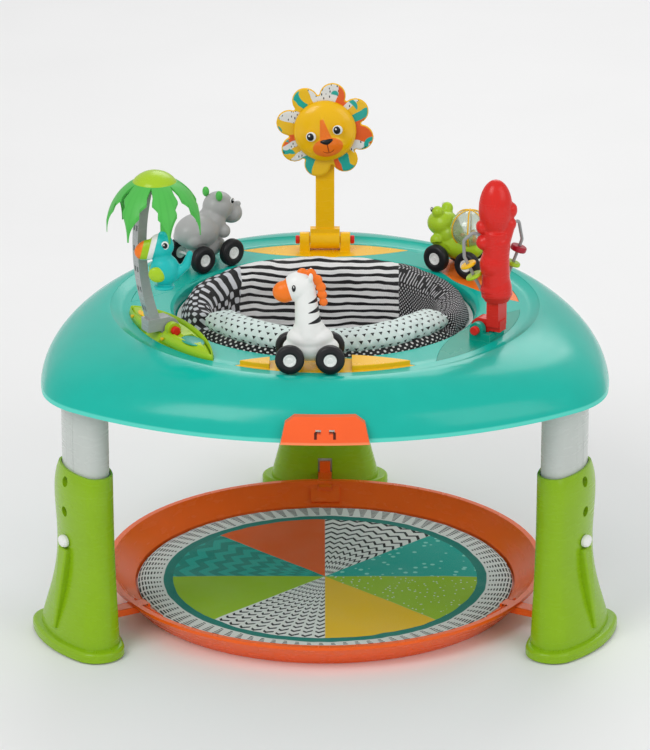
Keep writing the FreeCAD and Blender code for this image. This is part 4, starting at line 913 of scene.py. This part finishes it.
class TABLE_OT_lion(PieceOperator, bpy.types.Operator):
    """Tilting post with a turning lion's head in a printed mane"""

    bl_idname = "table.lion"
    bl_label = "Lion"

    def execute(self, context):
        shell_from("lion_post", PAINT["toy_yellow"], 1.0 * MM)
        shell_from("lion_pin", PAINT["toy_red"], 0.8 * MM)
        shell_from("lion_rivet", PAINT["steel"])
        self.mane(1.0, 212.0, 215.2, "mane_rim", PAINT["toy_yellow"], ("lion_mane",))
        self.mane(0.0, 211.4, 215.8, "mane_print", PAINT["petals"], ())
        bm = bmesh.new()
        back = 211.6
        outline = [(0, 0), (38.5, 0), (40, 1.2), (40, 3.2), (38.6, 6.4), (34.5, 9.6),
                   (28, 12.4), (19, 14.6), (9.5, 15.6), (0, 15.9)]
        lathe(bm, outline, Matrix.Translation(Vector((0, back, 538)) * MM) @
              Matrix.Rotation(math.radians(90), 4, "X"), 72)
        bmesh.ops.recalc_face_normals(bm, faces=bm.faces)
        bmesh.ops.subdivide_edges(bm, edges=bm.edges, cuts=1, use_grid_fill=True)
        turned = lion_place().inverted()
        for vert in bm.verts:
            spot = turned @ vert.co
            if spot.y < -0.001 or vert.co.y < 0.205:
                across, up = spot.x / MM, spot.z / MM
                muzzle = max(0.0, 1 - (across / 21) ** 2 - ((up + 18.5) / 15) ** 2)
                width = 2.2 + max(0.0, min(1.0, (19 - up) / 29)) * 6.5
                ridge = max(0.0, 1 - (across / width) ** 2) if -16 < up < 19 else 0.0
                vert.co.y -= (3.4 * math.sqrt(muzzle) + 1.6 * ridge * (muzzle < 0.2)) * MM
        settle(bm, "lion_face_skin", "lion_head", PAINT["face"],
               ("lion_face",), 40)
        for name, across, up in (("left", -18.0, 1.0), ("right", 17.0, 3.0)):
            self.eye(name, across, up)
        bm = bmesh.new()
        ball(bm, (0, 0, 0), (7.6, 3.0, 4.0))
        bmesh.ops.transform(bm, matrix=lion_place() @ Matrix.Translation(
            Vector((0, -5.6, -10.5)) * MM), verts=bm.verts)
        for vert in bm.verts:
            spot = turned @ vert.co
            narrow = 1.0 + (spot.z / MM + 10.5) * 0.13
            middle = lion_place() @ Vector((0, spot.y, spot.z))
            vert.co = middle + (vert.co - middle) * max(0.15, narrow)
        settle(bm, "lion_nose", "lion_head", PAINT["ink_black"])
        return {"FINISHED"}

    def mane(self, grow, front, behind, name, paint, stands_for):
        """A flower-shaped plate: a disc and eight petals, rounded together."""
        bm = bmesh.new()
        thickness = behind - front
        middle = Vector((0, (front + behind) / 2, 538))
        lie = Matrix.Rotation(math.radians(90), 4, "X")
        spots = [(0.0, 0.0, 46.0 + grow)]
        for number in range(8):
            turn = math.radians(33 + 45 * number)
            spots.append((46.2 * math.cos(turn), 46.2 * math.sin(turn), 15.9 + grow))
        for across, up, radius in spots:
            bmesh.ops.create_cone(bm, cap_ends=True, segments=64, radius1=radius * MM,
                                  radius2=radius * MM, depth=thickness * MM,
                                  matrix=Matrix.Translation((middle + Vector((across, 0, up)))
                                                            * MM) @ lie)
        settle(melted(bm, 1.0, 3), name, "lion_head", paint, stands_for, 180,
               recalc=False)

    def eye(self, name, across, up):
        for label, radii, paint, shift in (
                ("white", (6.4, 2.2, 6.4), "milk_white", (0, 0, 0)),
                ("pupil", (4.7, 2.2, 5.2), "ink_black", (-0.6, -0.9, 0.2)),
                ("glint", (1.2, 0.8, 1.2), "milk_white", (-1.8, -2.7, 2.2))):
            bm = bmesh.new()
            depth = -12.2 + 0.012 * across * across
            ball(bm, (across + shift[0], depth + shift[1], up + shift[2]), radii)
            bmesh.ops.transform(bm, matrix=lion_place(), verts=bm.verts)
            settle(bm, f"lion_{name}_{label}", "lion_head", PAINT[paint])


class TABLE_OT_palm(PieceOperator, bpy.types.Operator):
    """Palm tree with jagged leaves and a hanging bird"""

    bl_idname = "table.palm"
    bl_label = "Palm and bird"

    def execute(self, context):
        shell_from("palm_trunk", PAINT["toy_grey"], 0.6 * MM)
        shell_from("palm_pin", PAINT["toy_red"], 0.8 * MM)
        leaves = shell_from("palm_leaves", PAINT["leaf_green"])
        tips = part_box("palm_leaves")[0][2]
        for vert in leaves.data.vertices:
            vert.co.z = tips + (vert.co.z - tips) * LEAF_STRETCH
        leaves.data.update()
        bm = bmesh.new()
        lathe(bm, [(0, 14.2), (5, 13.9), (10, 12.9), (15, 11.0), (19.5, 8.4), (23.5, 5.0),
                   (26.4, 1.2), (26.6, 0.2), (26.0, -0.6), (22.0, -0.8), (0, -0.8)],
              Matrix.Translation((PALM_CROWN[0], PALM_CROWN[1], 0.5727)), 64)
        settle(bm, "palm_crown_cap", "palm", PAINT["toy_lime"],
               ("palm_cap",), 50)
        self.boat()
        shell_from("bird_strap", PAINT["leaf_green"], 0.3 * MM)
        x, y = BIRD_MIDDLE[0] / MM, BIRD_MIDDLE[1] / MM
        bm = bmesh.new()
        ball(bm, (x - 3, y, 504), (15.5, 13, 15.5))
        ball(bm, (x + 1, y, 474), (18, 13.6, 20))
        rod(bm, (x, y, 480), (x - 1, y, 500), 10)
        ball(bm, (x - 19, y, 499), (17, 8, 12.5), Matrix.Rotation(math.radians(-22), 4, "Y"))
        rod(bm, (x + 10, y, 464), (x + 27, y, 480), 6.5, 5.5)
        rod(bm, (x + 26, y, 478), (x + 31, y, 494), 5.8, 3.6)
        ball(bm, (x + 31, y, 494), (4.0, 4.0, 4.0))
        rod(bm, (x, y, 450.5), (x, y, 454.5), 12.5, steps=40)
        ball(bm, (x - 1, y, 519), (5, 3, 4))
        settle(melted(bm, 1.0, 4), "bird_skin", "bird", PAINT["bird"],
               ("bird_body",), 180, recalc=False)
        for side in (-1, 1):
            bm = bmesh.new()
            ball(bm, (x - 8, y + side * 11.0, 471), (10.5, 4.2, 9.5),
                 Matrix.Rotation(math.radians(25), 4, "Y"))
            settle(bm, f"bird_wing_{'front' if side < 0 else 'back'}", "bird",
                   PAINT["toy_lime"])
            for label, radius, out, paint in (("white", 4.6, 11.4, "milk_white"),
                                              ("pupil", 3.2, 12.4, "ink_black"),
                                              ("glint", 0.9, 13.9, "milk_white")):
                bm = bmesh.new()
                lift = 1.2 if label == "glint" else 0.0
                ball(bm, (x + 2 - lift, y + side * out, 508 + lift),
                     (radius, 1.6, radius * 1.15))
                settle(bm, f"bird_eye_{label}_{'front' if side < 0 else 'back'}", "bird",
                       PAINT[paint])
        return {"FINISHED"}

    def boat(self):
        """The raised sides of the boat-shaped base, its dark well and yellow end."""
        station = around(210, 216.5, 375.0)
        bm = bmesh.new()
        made = bmesh.ops.create_circle(bm, segments=96, radius=1.0)
        rings = [(25.3, 106.5, 0.0), (23.6, 104.5, 0.72), (22.0, 103.0, 1.0), (20.4, 101.0, 0.86),
                 (19.6, 99.5, 0.1)]
        loop = list(made["verts"])
        edges = list({edge for vert in loop for edge in vert.link_edges})
        turns = [math.atan2(vert.co.y, vert.co.x) for vert in loop]
        self.shape_ring(loop, turns, rings[0], station)
        for ring in rings[1:]:
            grown = bmesh.ops.extrude_edge_only(bm, edges=edges)["geom"]
            edges = [item for item in grown if isinstance(item, bmesh.types.BMEdge)]
            fresh = [item for item in grown if isinstance(item, bmesh.types.BMVert)]
            fresh.sort(key=lambda vert: min(range(len(loop)), key=lambda number: (
                loop[number].co - vert.co).length))
            loop = fresh
            self.shape_ring(loop, turns, ring, station)
        side = settle(bm, "boat_side", "table", PAINT["toy_lime"], (), 60)
        thick = side.modifiers.new("wall", "SOLIDIFY")
        thick.thickness = 0.5 * MM
        for name, along, half_width, half_length, tone in (
                ("well", 56.0, 12.0, 20.0, "deep_teal"), ("end", -58.0, 11.0, 19.0, "toy_yellow")):
            bm = bmesh.new()
            ball(bm, (0, along, 9.6), (half_width, half_length, 1.5))
            bmesh.ops.transform(bm, matrix=station, verts=bm.verts)
            settle(bm, f"boat_{name}", "table", PAINT[tone])
        for number, (along, out) in enumerate(((22.0, 24.6), (-70.0, 17.0))):
            bm = bmesh.new()
            ball(bm, (out, along, 5.5), (1.0, 3.0, 2.2))
            ball(bm, (out, along + 3.4, 7.0), (0.8, 1.8, 1.8))
            bmesh.ops.transform(bm, matrix=station, verts=bm.verts)
            settle(bm, f"boat_bug_{number}", "table", PAINT["toy_yellow"])

    def shape_ring(self, loop, turns, ring, station):
        half_width, half_length, share = ring
        for vert, turn in zip(loop, turns):
            along = math.sin(turn)
            across = math.cos(turn) * abs(math.cos(turn)) ** 0.45
            height = (7.0 + 6.5 * (1 - along * along)) * share
            if abs(along * half_length + 1) < 15 and across > 0:
                height = min(height, 2.5)
            vert.co = station @ (Vector((half_width * across, half_length * along,
                                         height - 0.3)) * MM)


class TABLE_OT_figure(PieceOperator, bpy.types.Operator):
    """Red tilting figure with two wires of sliding beads"""

    bl_idname = "table.figure"
    bl_label = "Figure and beads"

    def execute(self, context):
        shell_from("figure_body", PAINT["toy_red"], 0.7 * MM)
        shell_from("figure_pin", PAINT["toy_red"], 0.8 * MM)
        bm = bmesh.new()
        x, y = 207.85, -120.0
        ball(bm, (x - 3, y, 540), (20.6, 17.6, 36.6))
        rod(bm, (x - 1, y, 432), (x - 2, y, 512), 17.5, 15.5)
        ball(bm, (x - 1, y, 438), (19.6, 18.5, 10))
        ball(bm, (x - 4, y - 2, 470), (17.5, 16, 22))
        rod(bm, (x, y, 426), (x - 1, y, 432), 13.5, 18.5)
        ball(bm, (x - 19, y - 3, 517.5), (7.4, 7.0, 8.6))
        ball(bm, (x - 16, y - 2, 498), (10.2, 9.0, 9.8))
        ball(bm, (x + 15, y, 538), (8.4, 8.0, 10.5))
        rod(bm, (x + 6, y, 497), (x + 13, y, 521), 9.5, 8.6)
        ball(bm, (x + 13.5, y, 521), (9.0, 8.6, 9.0))
        settle(melted(bm, 1.1, 5), "figure_skin", "figure", PAINT["toy_red"],
               (), 180, recalc=False)
        for side in ("left", "right"):
            shell_from(f"figure_wire_{side}", PAINT["wire"], angle=60)
        for name, paint, slot in (("yellow", "toy_yellow", "yellow_plastic"),
                                  ("lime", "toy_lime", "lime_plastic"),
                                  ("red", "bead_crimson", "red_plastic"),
                                  ("green", "toy_lime", "lime_plastic")):
            shell_from(f"bead_{name}", PAINT[paint], 0.5 * MM)
        return {"FINISHED"}


class TABLE_OT_zebra(PieceOperator, bpy.types.Operator):
    """Zebra on wheels"""

    bl_idname = "table.zebra"
    bl_label = "Zebra"

    def execute(self, context):
        bm = bmesh.new()
        ball(bm, (-1, 0, 25), (34, 15.5, 17))
        ball(bm, (0, 0, 37), (28, 16.5, 17))
        ball(bm, (1, 0, 46), (20, 15.5, 17))
        rod(bm, (1, 0, 40), (6, 0, 100), 17, 12.2)
        ball(bm, (13, 0, 101), (19, 13.5, 18.5))
        ball(bm, (30, 0, 94.5), (14.5, 11, 13.5))
        for side in (-1, 1):
            ball(bm, (-1, side * 9, 115), (3.2, 3.0, 6.5),
                 Matrix.Rotation(math.radians(-15 * side), 4, "X"))
        animal(bm, "zebra", 1.1, 6, PAINT["zebra"])
        bm = bmesh.new()
        for across, up, radius in ((9, 117, 6.8), (-1, 116.5, 6.8), (-8.5, 109, 6.5),
                                   (-13, 100, 6.3), (-14.5, 90.5, 6.0), (-16, 81.5, 5.4)):
            ball(bm, (across, 0, up), (radius, 3.6, radius))
        bmesh.ops.transform(bm, matrix=car_frame("zebra"), verts=bm.verts)
        settle(melted(bm, 0.9, 2), "zebra_mane_ridge", "zebra_car", PAINT["peg_orange"],
               ("zebra_mane",), 180, recalc=False)
        eyes("zebra", 19.0, 12.6, 103.0, 2.6, 4.6)
        return {"FINISHED"}


class TABLE_OT_hippo(PieceOperator, bpy.types.Operator):
    """Hippo on wheels"""

    bl_idname = "table.hippo"
    bl_label = "Hippo"

    def execute(self, context):
        bm = bmesh.new()
        ball(bm, (-13, 0, 48), (33, 24, 23))
        ball(bm, (0, 0, 24), (31, 15, 15))
        ball(bm, (10, 0, 56), (20, 18, 20))
        ball(bm, (22, 0, 74), (21, 18.5, 19))
        ball(bm, (42, 0, 62), (14, 18.5, 14.5))
        for side in (-1, 1):
            ball(bm, (20, side * 14, 44), (9, 7.5, 9))
            ball(bm, (-28, side * 13, 42), (12, 9, 10))
            ball(bm, (47, side * 9, 74), (5, 4.5, 4))
        animal(bm, "hippo", 1.2, 6, PAINT["hippo"])
        for side in (-1, 1):
            bm = bmesh.new()
            ball(bm, (13, side * 13, 92), (4.0, 5.0, 6.6))
            bmesh.ops.transform(bm, matrix=car_frame("hippo"), verts=bm.verts)
            settle(bm, f"hippo_ear_{'right' if side < 0 else 'left'}", "hippo_car",
                   PAINT["leaf_green"])
        eyes("hippo", 33.0, 15.0, 82.0, 2.8, 3.6)
        return {"FINISHED"}


class TABLE_OT_frog(PieceOperator, bpy.types.Operator):
    """Frog on wheels with a clear rattle ball"""

    bl_idname = "table.frog"
    bl_label = "Frog"

    def execute(self, context):
        bm = bmesh.new()
        ball(bm, (8, 0, 32), (38, 17.5, 18))
        ball(bm, (31, 0, 57), (21, 19, 17))
        ball(bm, (18, 0, 45), (16, 17, 16))
        for side in (-1, 1):
            ball(bm, (32, side * 10.5, 74), (8, 7, 8))
            ball(bm, (30, side * 16, 38), (9, 6, 8))
        animal(bm, "frog", 1.2, 5, PAINT["toy_lime"])
        eyes("frog", 38.5, 12.5, 76.5, 3.0, 3.4)
        shell_from("frog_shell", PAINT["clear"])
        shell_from("frog_beads", PAINT["toy_yellow"])
        bm = bmesh.new()
        middle = Vector((-10, 0, 58))
        for turn in (0, 60, 120):
            place = car_frame("frog") @ Matrix.Translation(middle * MM) @ Matrix.Rotation(
                math.radians(turn), 4, "Z") @ ALONG_Y
            outline = [(24.3 + 0.9 * math.cos(step), 0.9 * math.sin(step))
                       for step in [math.radians(45 * number) for number in range(8)]]
            lathe(bm, outline + outline[:1], place, 60)
        settle(bm, "frog_cage_ribs", "frog_car", PAINT["toy_yellow"])
        return {"FINISHED"}


def animal(bm, car, voxel, passes, paint):
    """Melts an animal's forms together, clears the wheels and puts it on its car."""
    skin = melted(bm, voxel, passes)
    for vert in skin.verts:
        spot = vert.co / MM
        for forward in (-HALF_BASE, HALF_BASE):
            gap = math.hypot(spot.x - forward, spot.z - WHEEL_CENTRE)
            if gap < 19.5 and abs(spot.y) > 16.2:
                vert.co.y = math.copysign(16.2, spot.y) * MM
        vert.co.z = max(vert.co.z, 8.2 * MM)
    bmesh.ops.transform(skin, matrix=car_frame(car), verts=skin.verts)
    return settle(skin, f"{car}_skin", f"{car}_car", paint, (f"{car}_body",), 180,
                  recalc=False)


def eyes(car, forward, aside, height, half_width, half_height):
    """Two glossy eyes with a white ring on an animal's head."""
    for side in (-1, 1):
        for label, grow, out, paint in (("ring", 1.25, 0.0, "milk_white"),
                                        ("pupil", 1.0, 0.5, "ink_black"),
                                        ("glint", 0.28, 1.7, "milk_white")):
            bm = bmesh.new()
            lift = half_height * 0.4 if label == "glint" else 0.0
            ball(bm, (forward, side * (aside + out), height + lift),
                 (half_width * grow, 1.6, half_height * grow))
            bmesh.ops.transform(bm, matrix=car_frame(car), verts=bm.verts)
            settle(bm, f"{car}_eye_{label}_{'right' if side < 0 else 'left'}", f"{car}_car",
                   PAINT[paint])


class TABLE_OT_wheels(PieceOperator, bpy.types.Operator):
    """Ribbed black tyres with pale hubs on an axle"""

    bl_idname = "table.wheels"
    bl_label = "Wheels"

    def execute(self, context):
        tyre = [(8.0, 1.2), (9.0, 0.4), (12.0, 0.2), (14.6, 0.3), (16.4, 1.1), (17.3, 2.6),
                (17.5, 4.2), (17.0, 4.6), (17.5, 5.0), (17.5, 7.0), (17.0, 7.4), (17.5, 7.8),
                (17.3, 9.4), (16.4, 10.9), (14.6, 11.7), (12.0, 11.8), (9.0, 11.6),
                (8.0, 10.8), (8.0, 1.2)]
        hub = [(0, 1.6), (2.2, 1.6), (2.6, 2.3), (5.4, 2.3), (5.9, 1.2), (7.6, 1.0),
               (8.0, 1.8), (8.0, 10.2), (7.6, 11.0), (5.9, 10.8), (5.4, 9.7), (2.6, 9.7),
               (2.2, 10.4), (0, 10.4)]
        for car in CARS:
            for end, forward in (("front", HALF_BASE), ("rear", -HALF_BASE)):
                black, pale = bmesh.new(), bmesh.new()
                for start in WHEEL_STARTS:
                    place = car_frame(car) @ Matrix.Translation(
                        Vector((forward, start, WHEEL_CENTRE)) * MM) @ ALONG_Y
                    lathe(black, tyre, place, 56)
                    lathe(pale, hub, place, 40)
                axle = rod(pale, (forward, -19.0, WHEEL_CENTRE),
                           (forward, 19.0, WHEEL_CENTRE), 1.8)
                bmesh.ops.transform(pale, matrix=car_frame(car), verts=axle)
                body = f"{car}_{end}_wheels"
                settle(black, f"{car}_{end}_tyres", body, PAINT["tyre"],
                       (f"{car}_wheels_{end}",), 40)
                settle(pale, f"{car}_{end}_hubs", body, PAINT["milk_white"],
                       (), 40)
        return {"FINISHED"}


class TABLE_PT_panel(bpy.types.Panel):
    """Lists the sizes, colours and pieces"""

    bl_label = "Activity Table"
    bl_idname = "TABLE_PT_panel"
    bl_space_type = "VIEW_3D"
    bl_region_type = "UI"
    bl_category = "Activity Table"

    def draw(self, context):
        layout = self.layout
        for key in COLOURS:
            layout.prop(context.scene.table_colours, key)
        for key in ("seat_voxel", "seat_puff", "pressure"):
            layout.prop(context.scene.table_sewn, key)
        for operator in OPERATORS:
            layout.operator(operator.bl_idname)


OPERATORS = (TABLE_OT_stage, TABLE_OT_legs, TABLE_OT_floor_dish, TABLE_OT_play_mat,
             TABLE_OT_tray, TABLE_OT_seat, TABLE_OT_lion, TABLE_OT_palm, TABLE_OT_figure,
             TABLE_OT_zebra, TABLE_OT_hippo, TABLE_OT_frog, TABLE_OT_wheels)
CLASSES = (FinishColours, SewnSizes, *OPERATORS, TABLE_PT_panel)


def register():
    for item in CLASSES:
        bpy.utils.register_class(item)
    bpy.types.Scene.table_colours = bpy.props.PointerProperty(type=FinishColours)
    bpy.types.Scene.table_sewn = bpy.props.PointerProperty(type=SewnSizes)


def unregister():
    del bpy.types.Scene.table_colours
    del bpy.types.Scene.table_sewn
    for item in reversed(CLASSES):
        bpy.utils.unregister_class(item)


def main():
    register()
    make_paints()
    for operator in OPERATORS:
        family, name = operator.bl_idname.split(".")
        getattr(getattr(bpy.ops, family), name)()


if __name__ == "__main__":
    main()
